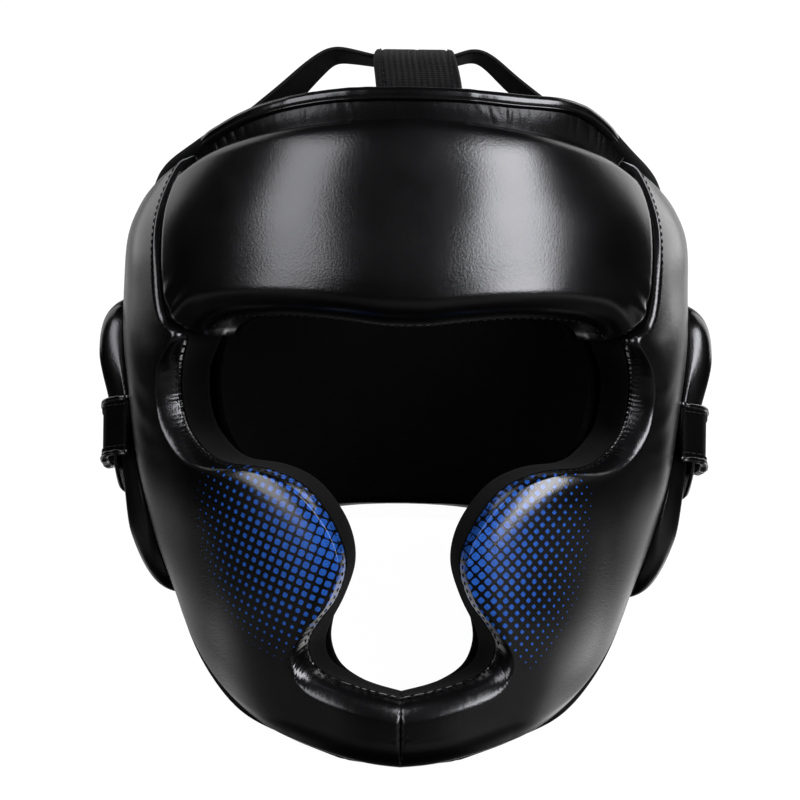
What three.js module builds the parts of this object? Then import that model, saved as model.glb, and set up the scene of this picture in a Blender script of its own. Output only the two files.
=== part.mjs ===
// A full face boxing headgear in millimetres, +Z up, the face towards -Y.
// It is drawn upright, as it is worn, and then leans back on its chin and its rear edge.
import * as THREE from "three";

const { Vector3 } = THREE;
const DEG = Math.PI / 180;

// ---- how it rests
const LEAN = 24.2 * DEG; // leans back until the rear edge meets the surface
const FLOOR_LIFT = 143.4; // height of the upright origin over the surface
const CENTRE_Y = -106.985; // brings the middle of the whole to y = 0

// ---- the skin: the smooth outside of the pads as level sections round one upright axis
const AXIS_Y = 115;
const SQUARENESS = 2.3; // exponent of each section: 2 is an ellipse
const SKIN = rows(["z", "half", "front", "back"], [
  [-152, 66, 20, 238],
  [-130, 77, 15, 245],
  [-103, 87, 11, 250],
  [-81, 94.5, 8, 253],
  [-60, 102, 6, 255],
  [-33, 109.5, 5, 256],
  [0, 115, 3, 256],
  [20, 117, 1.2, 256],
  [45, 117.3, 0, 256],
  [68, 116.4, 0, 255],
  [82, 110, 1.2, 254],
  [96, 101.5, 4.5, 252],
  [110, 93, 13, 248],
  [122, 85, 27, 244],
  [134, 73, 46, 236],
]);

// ---- layers
const PAD = 26; // thickness of the padded walls
const BACK_PAD = 22;
const LINING = 5;
const LINING_GAP = 1.3; // between a pad and its lining
const GAP = 0.4; // left between neighbouring pieces
const SEAM = 0.45 * DEG; // half the gap at an upright seam

// ---- the top rim, round the head from the front
const RIM = rows(["phi", "z"], [
  [0, 119.8], [15, 119.2], [28, 116.4], [40, 111.6], [50, 104.8], [58, 98.6],
  [67, 93.4], [75, 90], [83, 86.2], [90, 82], [104, 77], [125, 71], [150, 67], [180, 66],
]);

// ---- forehead panel outline, seen from the front
const BROW = rows(["x", "z"], [[0, 28], [10, 28.4], [22, 30], [42, 31.8], [58, 31.6], [72, 30], [88.6, 28.4]]);
const HAIRLINE = rows(["x", "z"], [[0, 110.4], [20, 109.8], [45, 106.8], [60, 103.8], [73, 100.2], [85, 94]]);
const TEMPLE_SEAM = rows(["x", "z"], [
  [88.6, 28.4], [93.6, 33], [96.4, 40], [97.4, 50], [97.4, 66], [96, 76.5], [92.4, 85.6], [85, 94],
]);
const BROW_ROLL = { reach: 15, sink: 19 };
const HAIRLINE_ROLL = { reach: 10, sink: 9 };
const TEMPLE_ROLL = { reach: 8, sink: 6 };

// ---- cheek panel: stations from the top rim to the middle of the chin.
// x, z: the edge by the face, seen from the front. phi, low: the far edge, behind the ear and then under the jaw.
// reach, sink: how far in and how deep the edge by the face rolls. under: how deep the far edge rolls.
const CHEEK = rows(["x", "z", "phi", "low", "reach", "sink", "under"], [
  [86.6, 94.4, 104, 76.5, 8, 6, 4],
  [93.8, 86, 104, 68, 8, 6, 4],
  [98.4, 70, 104, 54, 8, 6, 4],
  [98.4, 46, 104, 36, 8, 6, 4],
  [94.8, 32, 104, 20, 9, 8, 4],
  [89.2, 26, 104, 8, 12, 11, 4],
  [91.4, 14, 104, -6, 16, 14, 4],
  [91.6, 0, 104, -20, 18, 16, 4],
  [86.6, -14, 104, -36, 19, 18, 4],
  [74.2, -25.2, 104, -53, 20, 20, 5],
  [54, -28, 97, -71, 21, 21, 6],
  [37.5, -35.2, 87, -82.5, 22, 21, 8],
  [26.2, -50.4, 77, -92, 22, 21, 8],
  [21.7, -64.5, 67, -103.5, 21, 21, 8],
  [25.6, -78.2, 56, -115, 18, 20, 8],
  [32.4, -87.4, 45, -126, 15, 19, 8],
  [37.0, -97, 33.5, -136, 13, 18, 8],
  [33.0, -106.2, 22, -143.8, 12, 17, 8],
  [17.2, -112.2, 10, -147.8, 12, 17, 8],
  [0, -116, 0, -149.2, 12, 17, 8],
]);
const JAW_REACH = 11;
const JAW_TUCK = 0.13; // share of the panel that its inner face stops short of the lower edge
const EDGE_WALL = 2.5; // leather behind the rolled edge, before the lining
const LIP_SHARE = 0.16; // share of the lining that is its lip
const RIM_ROLL = { reach: 11, sink: 9 };
const CHIN_SEAM = { reach: 6, sink: 4 };

// ---- lip of the lining round the face opening, station by station as above
const LIP = rows(["x", "z"], [
  [70, 92], [75, 84], [78.5, 69], [78.5, 46], [76, 34], [74, 27], [80, 13], [80.6, -2], [75.2, -14],
  [64.4, -23.8], [48, -26], [33.4, -32.6], [21.8, -47.4], [18.2, -63], [22.8, -78], [28.4, -88.6],
  [31, -97.4], [26.6, -105], [13, -111.4], [0, -114.8],
]);

// ---- back panel
const REAR_SEAM = 104 * DEG; // where the cheek panels end
const REAR_EDGE = rows(["phi", "z"], [[104, -58], [118, -60.5], [132, -58.6], [150, -53.6], [165, -50.2], [180, -49]]);
const REAR_ROLL = { reach: 10, sink: 9 };
const REAR_SIDE = { reach: 5, sink: 4 };
const REAR_TUCK = 3.6; // the inner face stops this far over the lower edge

// ---- ear pads: ovals on the skin, dented where the closure strap crosses
const EAR = { phi: 108.5, z: -20, across: 19, up: 61, proud: 16, foot: 3, oval: 3, crown: 2.6, slim: 4 };
const EAR_DENT = { z: -12.5, half: 23, deep: 5 };

// ---- straps
const CLOSURE = { z: -12.5, wide: 26, thick: 2, drop: 3 };
const CLOSURE_PATH = rows(["phi", "off"], [
  [91, 12.8], [95, 15.3], [100, 16.8], [105, 17.2], [110, 17.3], [115, 17.1], [120, 16], [126, 12.5],
  [133, 8], [141, 4.6], [150, 2.8], [160, 2], [180, 2],
]);
const TAB = { from: 92.5, to: 117, top: 1.2, thick: 1.2, below: 26.5 };
const CROWN = { x: 2, wide: 34, thick: 2.6 };
const CROWN_PATH = rows(["y", "z"], [
  [36, 116.5], [43, 127.4], [56, 136], [78, 141.4], [106, 144], [138, 141], [172, 130.5], [202, 113], [224, 92], [237, 71],
]);
const CROSS = { y: 104, wide: 22, thick: 1.8 };
const CROSS_PATH = rows(["x", "z", "tilt"], [
  [-94, 88.5, 24], [-82, 99.6, 25], [-66, 115.6, 26], [-51, 128, 24], [-38, 138.6, 18], [-28, 143, 11], [-20, 142.4, 6], [-12, 139.4, 2], [2, 139.2, 2],
  [16, 139.4, 2], [24, 142.4, 6], [32, 142.2, 11], [42, 135, 18], [52, 127, 20], [66, 115, 22], [82, 100, 23], [94, 88.5, 24],
]);

// ---- bindings
const FRONT_BINDING = { to: 50, high: 6, deep: 7, inset: 8 };
const REAR_BINDING = { high: 5, deep: 6, inset: 8.5 };
const JAW_BINDING = { across: 2.4, depth: 9.4, drop: 1.8, from: 0.56, to: 0.83 };
const RIM_DROP = 4.6; // from the middle of the binding down to the panels
const TOP_STRIP = { thick: 2, from: 8.6, to: 10.6, end: 88 };

// ---- surface colours
const LEATHER = { color: 0x0c0c0e, roughness: 0.4 };
const SUEDE = { color: 0x1c1c1e, roughness: 0.95 };
const WEBBING = { color: 0x0a0a0b, roughness: 0.8 };
const ELASTIC = { color: 0x141416, roughness: 0.75 };

// ---- tables and curves
function rows(columns, values) {
  return values.map((v) => Object.fromEntries(columns.map((c, i) => [c, v[i]])));
}

// Value of a column at x, on a smooth curve through the rows.
function read(table, key, column, x) {
  const last = table.length - 1;
  let i = 0;
  while (i < last - 1 && table[i + 1][key] < x) i++;
  const slope = (j) => {
    const a = table[Math.max(j - 1, 0)], b = table[Math.min(j + 1, last)];
    return (b[column] - a[column]) / (b[key] - a[key]);
  };
  const p = table[i], q = table[i + 1], w = q[key] - p[key];
  const t = Math.min(Math.max((x - p[key]) / w, 0), 1), u = 1 - t;
  return (
    p[column] * (1 + 2 * t) * u * u + q[column] * (3 - 2 * t) * t * t +
    w * t * u * (slope(i) * u - slope(i + 1) * t)
  );
}

// The same, by place along the table from 0 to 1.
function along(table, column, s) {
  const numbered = table.map((r, i) => ({ i: i / (table.length - 1), v: r[column] }));
  return read(numbered, "i", "v", s);
}

// ---- the skin
function skin(phi, z) {
  const half = read(SKIN, "z", "half", z);
  const front = AXIS_Y - read(SKIN, "z", "front", z), back = read(SKIN, "z", "back", z) - AXIS_Y;
  const reach = Math.cos(phi) > 0 ? front : back;
  const r = Math.pow(
    Math.pow(Math.abs(Math.cos(phi)) / reach, SQUARENESS) + Math.pow(Math.abs(Math.sin(phi)) / half, SQUARENESS),
    -1 / SQUARENESS,
  );
  return new Vector3(r * Math.sin(phi), AXIS_Y - r * Math.cos(phi), z);
}

function outward(phi, z) {
  const e = 0.01, k = 1;
  const round = skin(phi + e, z).sub(skin(phi - e, z));
  const up = skin(phi, z + k).sub(skin(phi, z - k));
  return round.cross(up).normalize();
}

// The point at a depth under the skin.
function under(phi, z, depth) {
  return skin(phi, z).addScaledVector(outward(phi, z), -depth);
}

// Where on the skin a point at that depth shows at x, z from the front.
function facing(x, z, depth) {
  let phi = Math.asin(Math.min(x / read(SKIN, "z", "half", z), 0.95)), h = z;
  for (let i = 0; i < 14; i++) {
    const p = under(phi, h, depth), e = 1e-3;
    const dx = (under(phi + e, h, depth).x - p.x) / e;
    phi = Math.min(Math.max(phi + (0.8 * (x - p.x)) / dx, -0.2), 1.4);
    h += 0.8 * (z - p.z);
  }
  return { phi, z: h };
}

// Depth of a rounded edge at a distance in from it.
function roll(distance, { reach, sink }) {
  const q = 1 - Math.min(Math.max(distance / reach, 0), 1);
  return sink * (1 - Math.sqrt(Math.max(1 - q * q, 0)));
}

const together = (...depths) => Math.hypot(...depths);

// ---- closed solids from grids
function geometry(points, faces) {
  const g = new THREE.BufferGeometry();
  g.setAttribute("position", new THREE.Float32BufferAttribute(points.flatMap((p) => [p.x, p.y, p.z]), 3));
  g.setIndex(faces.flat());
  g.computeVertexNormals();
  return g;
}

// A wall between an outer and an inner face over the same grid. Columns run to +X seen from outside, rows run up.
function wall(columns, levels, outer, inner) {
  const points = [], faces = [];
  const put = (f) => {
    const grid = [];
    for (let i = 0; i <= columns; i++) {
      grid.push([]);
      for (let j = 0; j <= levels; j++) grid[i].push(points.push(f(i / columns, j / levels)) - 1);
    }
    return grid;
  };
  const a = put(outer), b = put(inner);
  const quad = (p, q, r, s) => faces.push([p, q, r], [p, r, s]);
  for (let i = 0; i < columns; i++)
    for (let j = 0; j < levels; j++) {
      quad(a[i][j], a[i + 1][j], a[i + 1][j + 1], a[i][j + 1]);
      quad(b[i][j], b[i][j + 1], b[i + 1][j + 1], b[i + 1][j]);
    }
  for (let i = 0; i < columns; i++) {
    quad(b[i][0], b[i + 1][0], a[i + 1][0], a[i][0]);
    quad(a[i][levels], a[i + 1][levels], b[i + 1][levels], b[i][levels]);
  }
  for (let j = 0; j < levels; j++) {
    quad(b[0][j], a[0][j], a[0][j + 1], b[0][j + 1]);
    quad(a[columns][j], b[columns][j], b[columns][j + 1], a[columns][j + 1]);
  }
  return geometry(points, faces);
}

// A section carried along a path. frame(t) gives the middle, the width direction and the height direction.
function swept(steps, section, frame, closed = false) {
  const points = [], faces = [], n = section.length;
  const rings = closed ? steps : steps + 1;
  for (let i = 0; i < rings; i++) {
    const { at, wide, high } = frame(i / steps);
    for (const [w, h] of section) points.push(at.clone().addScaledVector(wide, w).addScaledVector(high, h));
  }
  for (let i = 0; i < steps; i++)
    for (let k = 0; k < n; k++) {
      const a = i * n + k, b = i * n + ((k + 1) % n), c = ((i + 1) % rings) * n;
      faces.push([a, b, c + ((k + 1) % n)], [a, c + ((k + 1) % n), c + k]);
    }
  if (!closed)
    for (let k = 1; k < n - 1; k++)
      faces.push([0, k + 1, k], [steps * n, steps * n + k, steps * n + k + 1]);
  return geometry(points, faces);
}

function oval(wide, high, count) {
  return Array.from({ length: count }, (_, k) => {
    const a = (2 * Math.PI * k) / count;
    return [(wide / 2) * Math.cos(a), (high / 2) * Math.sin(a)];
  });
}

function flat(wide, thick, count) {
  const top = Array.from({ length: count + 1 }, (_, k) => [wide / 2 - (wide * k) / count, thick / 2]);
  return [...top, ...top.map(([w]) => [-w, -thick / 2])];
}

// More stations near both edges.
const spread = (t) => t + (0.55 / (2 * Math.PI)) * -Math.sin(2 * Math.PI * t);
const rimZ = (phi) => read(RIM, "phi", "z", Math.abs(phi) / DEG > 180 ? 360 - Math.abs(phi) / DEG : Math.abs(phi) / DEG);

// Top of the panels on the skin, so that their rolled edge comes up under the binding.
function rimFoot(phi) {
  const z = rimZ(phi);
  return z - RIM_DROP + REAR_BINDING.inset * outward(phi, z).z;
}

// ---- forehead panel
function foreheadPlace(u, v) {
  const side = Math.sign(u) || 1, s = Math.abs(u);
  const corner = Math.pow(s, 5), sink = (edge) => edge.sink + (TEMPLE_ROLL.sink - edge.sink) * corner;
  const low = facing(along(BROW, "x", s), along(BROW, "z", s), sink(BROW_ROLL));
  const top = facing(along(HAIRLINE, "x", s), along(HAIRLINE, "z", s), sink(HAIRLINE_ROLL));
  const edge = facing(along(TEMPLE_SEAM, "x", v), along(TEMPLE_SEAM, "z", v), TEMPLE_ROLL.sink);
  const foot = facing(TEMPLE_SEAM[0].x, TEMPLE_SEAM[0].z, TEMPLE_ROLL.sink);
  const head = facing(TEMPLE_SEAM.at(-1).x, TEMPLE_SEAM.at(-1).z, TEMPLE_ROLL.sink);
  const bow = (k) => edge[k] - (foot[k] * (1 - v) + head[k] * v);
  const mix = (k) => low[k] * (1 - v) + top[k] * v + s * s * s * bow(k);
  return { phi: side * mix("phi"), z: mix("z") };
}

function foreheadDepth(u, v) {
  const { phi, z } = foreheadPlace(u, v);
  const low = foreheadPlace(u, 0).z, top = foreheadPlace(u, 1).z;
  const side = Math.abs(foreheadPlace(1, v).phi) - Math.abs(phi);
  return together(
    roll(z - low, BROW_ROLL), roll(top - z, HAIRLINE_ROLL), roll(side * AXIS_Y, TEMPLE_ROLL),
  );
}

function foreheadWall(columns, levels, outer, inner) {
  const place = (i, j) => {
    const u = 2 * spread(i) - 1, v = spread(j);
    return { ...foreheadPlace(u, v), depth: foreheadDepth(u, v) };
  };
  const put = (f) => (i, j) => { const p = place(i, j); return under(p.phi, p.z, f(p)); };
  return wall(columns, levels, put(outer), put(inner));
}

// ---- cheek panels, drawn on the wearer's left and mirrored
const station = (k, s) => along(CHEEK, k, s);
const nearEdge = (s) => facing(station("x", s), station("z", s), station("sink", s));
const lipEdge = (s) => facing(along(LIP, "x", s), along(LIP, "z", s), (station("sink", s) + PAD + LINING) / 2);

function between(a, b, t) {
  return { phi: a.phi * (1 - t) + b.phi * t, z: a.z * (1 - t) + b.z * t };
}

// A place on the panel: s from the rim to the chin, t from the edge by the face to the far edge.
function cheekPlace(s, t) {
  const near = nearEdge(s), far = { phi: station("phi", s) * DEG, z: station("low", s) };
  const place = between(near, far, t);
  place.z += Math.pow(Math.max(1 - 7 * s, 0), 2) * (rimFoot(place.phi) - place.z);
  place.phi = Math.max(place.phi, 0) + SEAM;
  place.span = skin(near.phi, near.z).distanceTo(skin(far.phi, far.z)) * 1.06;
  return place;
}

// The outside: rolled at every edge.
function cheekDepth(s, t) {
  const here = cheekPlace(s, t), top = cheekPlace(0, t), p = skin(here.phi, here.z);
  return Math.min(
    together(
      roll(t * here.span, { reach: station("reach", s), sink: station("sink", s) }),
      roll((1 - t) * here.span, { reach: JAW_REACH * Math.min(1, station("under", s) / 8), sink: station("under", s) }),
      roll(p.distanceTo(skin(top.phi, top.z)), RIM_ROLL),
      roll(p.x, CHIN_SEAM),
    ),
    PAD - 2,
  );
}

// 0 along the forehead seam, 1 along the face opening.
const open = (s) => Math.min(Math.max((s - 0.21) / 0.06, 0), 1);

// The inside: thin at the rolled edge, where the lining takes over.
function cheekInner(s, t) {
  const edge = PAD + (station("sink", s) + EDGE_WALL - PAD) * open(s);
  return edge + (PAD - edge) * t;
}

// How much of the panel the inner face covers: it stops short along the jaw.
const tuck = (s) => 1 - JAW_TUCK * Math.min(Math.max((s - 0.42) * 9, 0), 1);

function cheekPad(stations, across) {
  const outer = (i, j) => {
    const s = 1 - i, t = 1 - spread(j), p = cheekPlace(s, t);
    return under(p.phi, p.z, cheekDepth(s, t));
  };
  const inner = (i, j) => {
    const s = 1 - i, t = (1 - spread(j)) * tuck(s), p = cheekPlace(s, t);
    return under(p.phi, p.z, cheekInner(s, t));
  };
  return wall(stations, across, outer, inner);
}

function cheekLining(stations, across) {
  const back = PAD + LINING_GAP + LINING;
  const place = (i, j) => {
    const s = 1 - i, share = 1 - j, lip = share / LIP_SHARE, reach = tuck(s) - 0.03;
    const plain = cheekPlace(s, share * reach), bare = cheekInner(s, share * reach) + LINING_GAP;
    const t = Math.max((share - LIP_SHARE) / (1 - LIP_SHARE), 0) * reach;
    const shown = lip < 1 ? between(lipEdge(s), nearEdge(s), lip) : cheekPlace(s, t);
    if (lip < 1) shown.phi = Math.max(shown.phi, 0) + SEAM;
    const front = station("sink", s) + EDGE_WALL + LINING_GAP;
    const deep = lip < 1 ? front + (1 - lip) * 0.35 * (back - front) : cheekInner(s, t) + LINING_GAP;
    return { p: between(plain, shown, open(s)), depth: bare + (deep - bare) * open(s) };
  };
  return wall(
    stations, across,
    (i, j) => { const { p, depth } = place(i, j); return under(p.phi, p.z, depth); },
    (i, j) => { const { p } = place(i, j); return under(p.phi, p.z, back); },
  );
}

// ---- back panel
function backWall(columns, levels, outer, inner, inset = 0) {
  const place = (i, j, lift) => {
    const start = REAR_SEAM + 2 * SEAM;
    const phi = start + (2 * Math.PI - 2 * start) * i;
    const turned = Math.min(phi, 2 * Math.PI - phi) / DEG;
    const low = read(REAR_EDGE, "phi", "z", turned) + inset, top = rimFoot(turned * DEG) - inset;
    const z = low + lift + (top - low - lift) * spread(j);
    const side = (turned * DEG - start) * AXIS_Y;
    return {
      phi, z,
      depth: together(roll(z - low, REAR_ROLL), roll(top - z, RIM_ROLL), roll(side, REAR_SIDE)),
    };
  };
  const put = (f, lift) => (i, j) => { const p = place(i, j, lift); return under(p.phi, p.z, f(p)); };
  return wall(columns, levels, put(outer, 0), put(inner, inset ? 0 : REAR_TUCK));
}

// ---- ear pads
function earPoint(a, r) {
  const c = Math.cos(a), s = Math.sin(a);
  const k = Math.pow(Math.pow(Math.abs(c), EAR.oval) + Math.pow(Math.abs(s), EAR.oval), -1 / EAR.oval);
  return { phi: (EAR.phi + EAR.across * k * c * r) * DEG, z: EAR.z + EAR.up * k * s * r };
}

function earHeight(r, z) {
  const dome = EAR.foot + (EAR.proud - EAR.foot) * Math.pow(Math.max(1 - Math.pow(r, EAR.crown), 0), 0.5);
  const d = Math.min(Math.abs(z - EAR_DENT.z) / EAR_DENT.half, 1);
  const lower = Math.max((EAR_DENT.z - z) / (EAR.up + EAR.z - EAR_DENT.z), 0);
  return dome - (EAR_DENT.deep * (1 - d * d * d * d) + EAR.slim * lower) * (dome / EAR.proud);
}

function earPad() {
  const around = 24, rings = 4;
  const points = [], faces = [];
  const face = (height) => {
    const middle = points.push(height(earPoint(0, 0), 0)) - 1, loops = [];
    for (let k = 1; k <= rings; k++) {
      const r = Math.sin((Math.PI / 2) * (k / rings));
      loops.push(Array.from({ length: around }, (_, i) => {
        const p = earPoint((2 * Math.PI * i) / around, r);
        return points.push(height(p, r)) - 1;
      }));
    }
    return { middle, loops };
  };
  const top = face((p, r) => under(p.phi, p.z, -GAP - earHeight(r, p.z)));
  const base = face((p) => under(p.phi, p.z, -GAP));
  const next = (i) => (i + 1) % around;
  for (let i = 0; i < around; i++) {
    faces.push([top.middle, top.loops[0][i], top.loops[0][next(i)]], [base.middle, base.loops[0][next(i)], base.loops[0][i]]);
    for (let k = 0; k < rings - 1; k++) {
      const [a, b, c, d] = [top.loops[k][i], top.loops[k + 1][i], top.loops[k + 1][next(i)], top.loops[k][next(i)]];
      faces.push([a, b, c], [a, c, d]);
      const [e, f, g, h] = [base.loops[k][i], base.loops[k + 1][i], base.loops[k + 1][next(i)], base.loops[k][next(i)]];
      faces.push([e, g, f], [e, h, g]);
    }
    const [a, b] = [top.loops[rings - 1][i], top.loops[rings - 1][next(i)]];
    const [c, d] = [base.loops[rings - 1][i], base.loops[rings - 1][next(i)]];
    faces.push([a, c, d], [a, d, b]);
  }
  return geometry(points, faces);
}

// ---- straps
function closureStrap() {
  const from = CLOSURE_PATH[0].phi, end = 360 - from;
  return swept(44, flat(CLOSURE.wide, CLOSURE.thick, 1), (t) => {
    const angle = from + (end - from) * t, turned = Math.min(angle, 360 - angle);
    const z = CLOSURE.z - CLOSURE.drop * Math.sin(((turned - from) / (180 - from)) * (Math.PI / 2));
    const high = outward(angle * DEG, z).setZ(0).normalize();
    const off = read(CLOSURE_PATH, "phi", "off", turned);
    return { at: skin(angle * DEG, z).addScaledVector(high, off), wide: new Vector3(0, 0, 1), high };
  });
}

function strapTab() {
  const columns = 10, levels = 4;
  const place = (i, j) => {
    const phi = TAB.from + (TAB.to - TAB.from) * i;
    const bow = Math.sqrt(Math.max(1 - Math.pow(2 * i - 1, 4), 0.02));
    const low = CLOSURE.z - TAB.below * bow, top = TAB.top;
    return { phi: phi * DEG, z: low + (top - low) * j };
  };
  const lift = (p) => {
    const dx = (p.phi / DEG - EAR.phi) / EAR.across, dz = (p.z - EAR.z) / EAR.up;
    const r = Math.pow(Math.pow(Math.abs(dx), EAR.oval) + Math.pow(Math.abs(dz), EAR.oval), 1 / EAR.oval);
    return GAP + earHeight(Math.min(r, 1), p.z) + GAP + 0.8;
  };
  const put = (extra) => (i, j) => { const p = place(i, j); return under(p.phi, p.z, -lift(p) - extra); };
  return wall(columns, levels, put(TAB.thick), put(0));
}

function crownStrap() {
  const point = (s) => new Vector3(CROWN.x, along(CROWN_PATH, "y", s), along(CROWN_PATH, "z", s));
  return swept(24, flat(CROWN.wide, CROWN.thick, 1), (t) => {
    const forward = point(Math.min(t + 0.01, 1)).sub(point(Math.max(t - 0.01, 0))).normalize();
    const wide = new Vector3(-1, 0, 0);
    return { at: point(t), wide, high: wide.clone().cross(forward).negate() };
  });
}

function crossStrap() {
  const point = (s) => new Vector3(along(CROSS_PATH, "x", s), CROSS.y, along(CROSS_PATH, "z", s));
  return swept(36, flat(CROSS.wide, CROSS.thick, 1), (t) => {
    const forward = point(Math.min(t + 0.01, 1)).sub(point(Math.max(t - 0.01, 0))).normalize();
    const tilt = along(CROSS_PATH, "tilt", t) * DEG;
    const level = new Vector3(0, 1, 0), up = forward.clone().cross(level).normalize();
    const wide = level.multiplyScalar(Math.cos(tilt)).addScaledVector(up, -Math.sin(tilt)).normalize();
    return { at: point(t), wide, high: forward.clone().cross(wide).normalize() };
  });
}

// ---- bindings
function rimTube(from, to, size, steps) {
  return swept(steps, oval(size.deep, size.high, 6), (t) => {
    const phi = from + (to - from) * t, turned = phi > Math.PI ? 2 * Math.PI - phi : Math.abs(phi);
    const place = (p) => {
      const f = p > Math.PI ? 2 * Math.PI - p : Math.abs(p), z = rimZ(f);
      const q = under(p, z - size.high, size.inset);
      return new Vector3(q.x, q.y, z);
    };
    const at = place(phi), forward = place(phi + 0.01).sub(place(phi - 0.01)).normalize();
    const out = outward(phi, rimZ(turned)).setZ(0).normalize();
    const high = out.clone().cross(forward).normalize().negate();
    return { at, wide: high.clone().cross(forward).normalize(), high };
  });
}

function jawBinding() {
  const place = (t) => {
    const p = cheekPlace(JAW_BINDING.from + (JAW_BINDING.to - JAW_BINDING.from) * t, 1);
    return under(p.phi, p.z - JAW_BINDING.drop, JAW_BINDING.depth);
  };
  return swept(22, oval(JAW_BINDING.across, JAW_BINDING.across, 6), (t) => {
    const at = place(t);
    const forward = place(Math.min(t + 0.01, 1)).sub(place(Math.max(t - 0.01, 0))).normalize();
    const high = new Vector3(0, 0, 1).addScaledVector(forward, -forward.z).normalize();
    return { at, wide: high.clone().cross(forward).normalize(), high };
  });
}

function topStrip() {
  const columns = 24, levels = 2;
  const place = (i, j, depth) => {
    const u = 2 * i - 1, top = foreheadPlace(u * 0.985, 1);
    const foot = under(top.phi, top.z + 0.6, HAIRLINE_ROLL.sink + depth);
    const z = rimZ(Math.abs(top.phi)) - FRONT_BINDING.high / 2 - 0.6;
    const q = under(top.phi, z - 2, FRONT_BINDING.inset + depth - 1.5);
    const head = new Vector3(q.x, q.y, Math.max(z, foot.z + 1.5));
    return foot.clone().lerp(head, j).add(new Vector3(0, 0, 0.7 * Math.sin(Math.PI * j)));
  };
  return wall(columns, levels, (i, j) => place(i, j, 0), (i, j) => place(i, j, TOP_STRIP.thick));
}

// ---- put together
const headgear = new THREE.Group();
headgear.name = "full_face_headgear";
headgear.rotation.x = -LEAN;
headgear.position.set(0, CENTRE_Y, FLOOR_LIFT);
headgear.updateMatrixWorld(true);
const toUpright = headgear.matrixWorld.clone().invert();

// Whatever would sink into the surface is pressed flat on it.
function rest(g, height = 0) {
  const p = g.getAttribute("position"), v = new Vector3();
  for (let i = 0; i < p.count; i++) {
    v.fromBufferAttribute(p, i).applyMatrix4(headgear.matrixWorld);
    if (v.z < height) {
      v.setZ(height).applyMatrix4(toUpright);
      p.setXYZ(i, v.x, v.y, v.z);
    }
  }
  g.computeVertexNormals();
  return g;
}

function piece(name, g, look, mirrored = false) {
  const mesh = new THREE.Mesh(g, new THREE.MeshStandardMaterial({ ...look, side: THREE.DoubleSide }));
  mesh.name = name;
  if (mirrored) mesh.scale.x = -1;
  headgear.add(mesh);
}

const liningOut = PAD + LINING_GAP, liningIn = PAD + LINING_GAP + LINING;
piece("forehead_pad", foreheadWall(18, 9, (p) => p.depth, () => PAD), LEATHER);
piece("forehead_lining", foreheadWall(12, 4, () => liningOut, () => liningIn), SUEDE);

const cheek = rest(cheekPad(32, 9)), cheekBehind = rest(cheekLining(30, 5), 1);
for (const side of ["left", "right"]) {
  piece(`cheek_pad_${side}`, cheek, LEATHER, side === "left");
  piece(`cheek_lining_${side}`, cheekBehind, SUEDE, side === "left");
  piece(`ear_pad_${side}`, earPad(), LEATHER, side === "left");
  piece(`strap_tab_${side}`, strapTab(), LEATHER, side === "left");
  piece(`jaw_binding_${side}`, jawBinding(), WEBBING, side === "left");
}

piece("back_pad", rest(backWall(22, 8, (p) => p.depth, () => BACK_PAD)), LEATHER);
piece("back_lining", rest(backWall(18, 3, () => BACK_PAD + LINING_GAP, () => BACK_PAD + LINING_GAP + LINING, REAR_TUCK), 1), SUEDE);
piece("top_strip", topStrip(), LEATHER);
piece("rim_binding_front", rimTube(-FRONT_BINDING.to * DEG, FRONT_BINDING.to * DEG, FRONT_BINDING, 24), LEATHER);
piece("rim_binding_rear", rimTube((FRONT_BINDING.to + 1) * DEG, (359 - FRONT_BINDING.to) * DEG, REAR_BINDING, 36), WEBBING);
piece("crown_strap", crownStrap(), ELASTIC);
piece("cross_strap", crossStrap(), WEBBING);
piece("closure_strap", closureStrap(), LEATHER);

export default headgear;
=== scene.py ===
"""Looks of a full face boxing headgear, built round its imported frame. Metres, +Z up, the face towards -Y.

The soft pieces follow the frame's own skin: level sections round one upright axis, drawn upright in millimetres
and then leant back on the chin and the rear edge.
"""
import math

import bpy
import numpy as np
from mathutils import Matrix, Vector


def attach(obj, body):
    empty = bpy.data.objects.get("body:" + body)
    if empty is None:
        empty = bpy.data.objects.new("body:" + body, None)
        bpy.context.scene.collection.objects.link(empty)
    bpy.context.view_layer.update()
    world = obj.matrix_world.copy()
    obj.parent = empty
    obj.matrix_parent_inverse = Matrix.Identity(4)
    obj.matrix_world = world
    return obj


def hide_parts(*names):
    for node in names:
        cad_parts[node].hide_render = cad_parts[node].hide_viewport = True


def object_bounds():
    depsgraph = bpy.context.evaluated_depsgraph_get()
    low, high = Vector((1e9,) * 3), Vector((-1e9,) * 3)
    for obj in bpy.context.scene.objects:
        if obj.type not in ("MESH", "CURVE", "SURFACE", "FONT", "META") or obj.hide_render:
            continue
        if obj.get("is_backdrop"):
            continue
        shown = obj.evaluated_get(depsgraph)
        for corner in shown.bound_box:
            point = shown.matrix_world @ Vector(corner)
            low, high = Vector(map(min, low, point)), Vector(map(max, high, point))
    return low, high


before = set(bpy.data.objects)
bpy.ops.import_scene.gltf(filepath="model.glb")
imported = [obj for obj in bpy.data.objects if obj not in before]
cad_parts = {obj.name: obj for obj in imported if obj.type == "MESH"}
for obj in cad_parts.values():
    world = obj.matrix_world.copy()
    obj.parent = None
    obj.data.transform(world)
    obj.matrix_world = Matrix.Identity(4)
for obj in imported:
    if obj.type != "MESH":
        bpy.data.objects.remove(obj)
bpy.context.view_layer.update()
rad = math.radians

# ------------------------------------------------------------------ sizes, in millimetres, upright
LEAN = rad(24.2)
FLOOR_LIFT = 143.4
CENTRE_Y = -106.985
AXIS_Y = 115.0
SQUARE = 2.3
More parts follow.
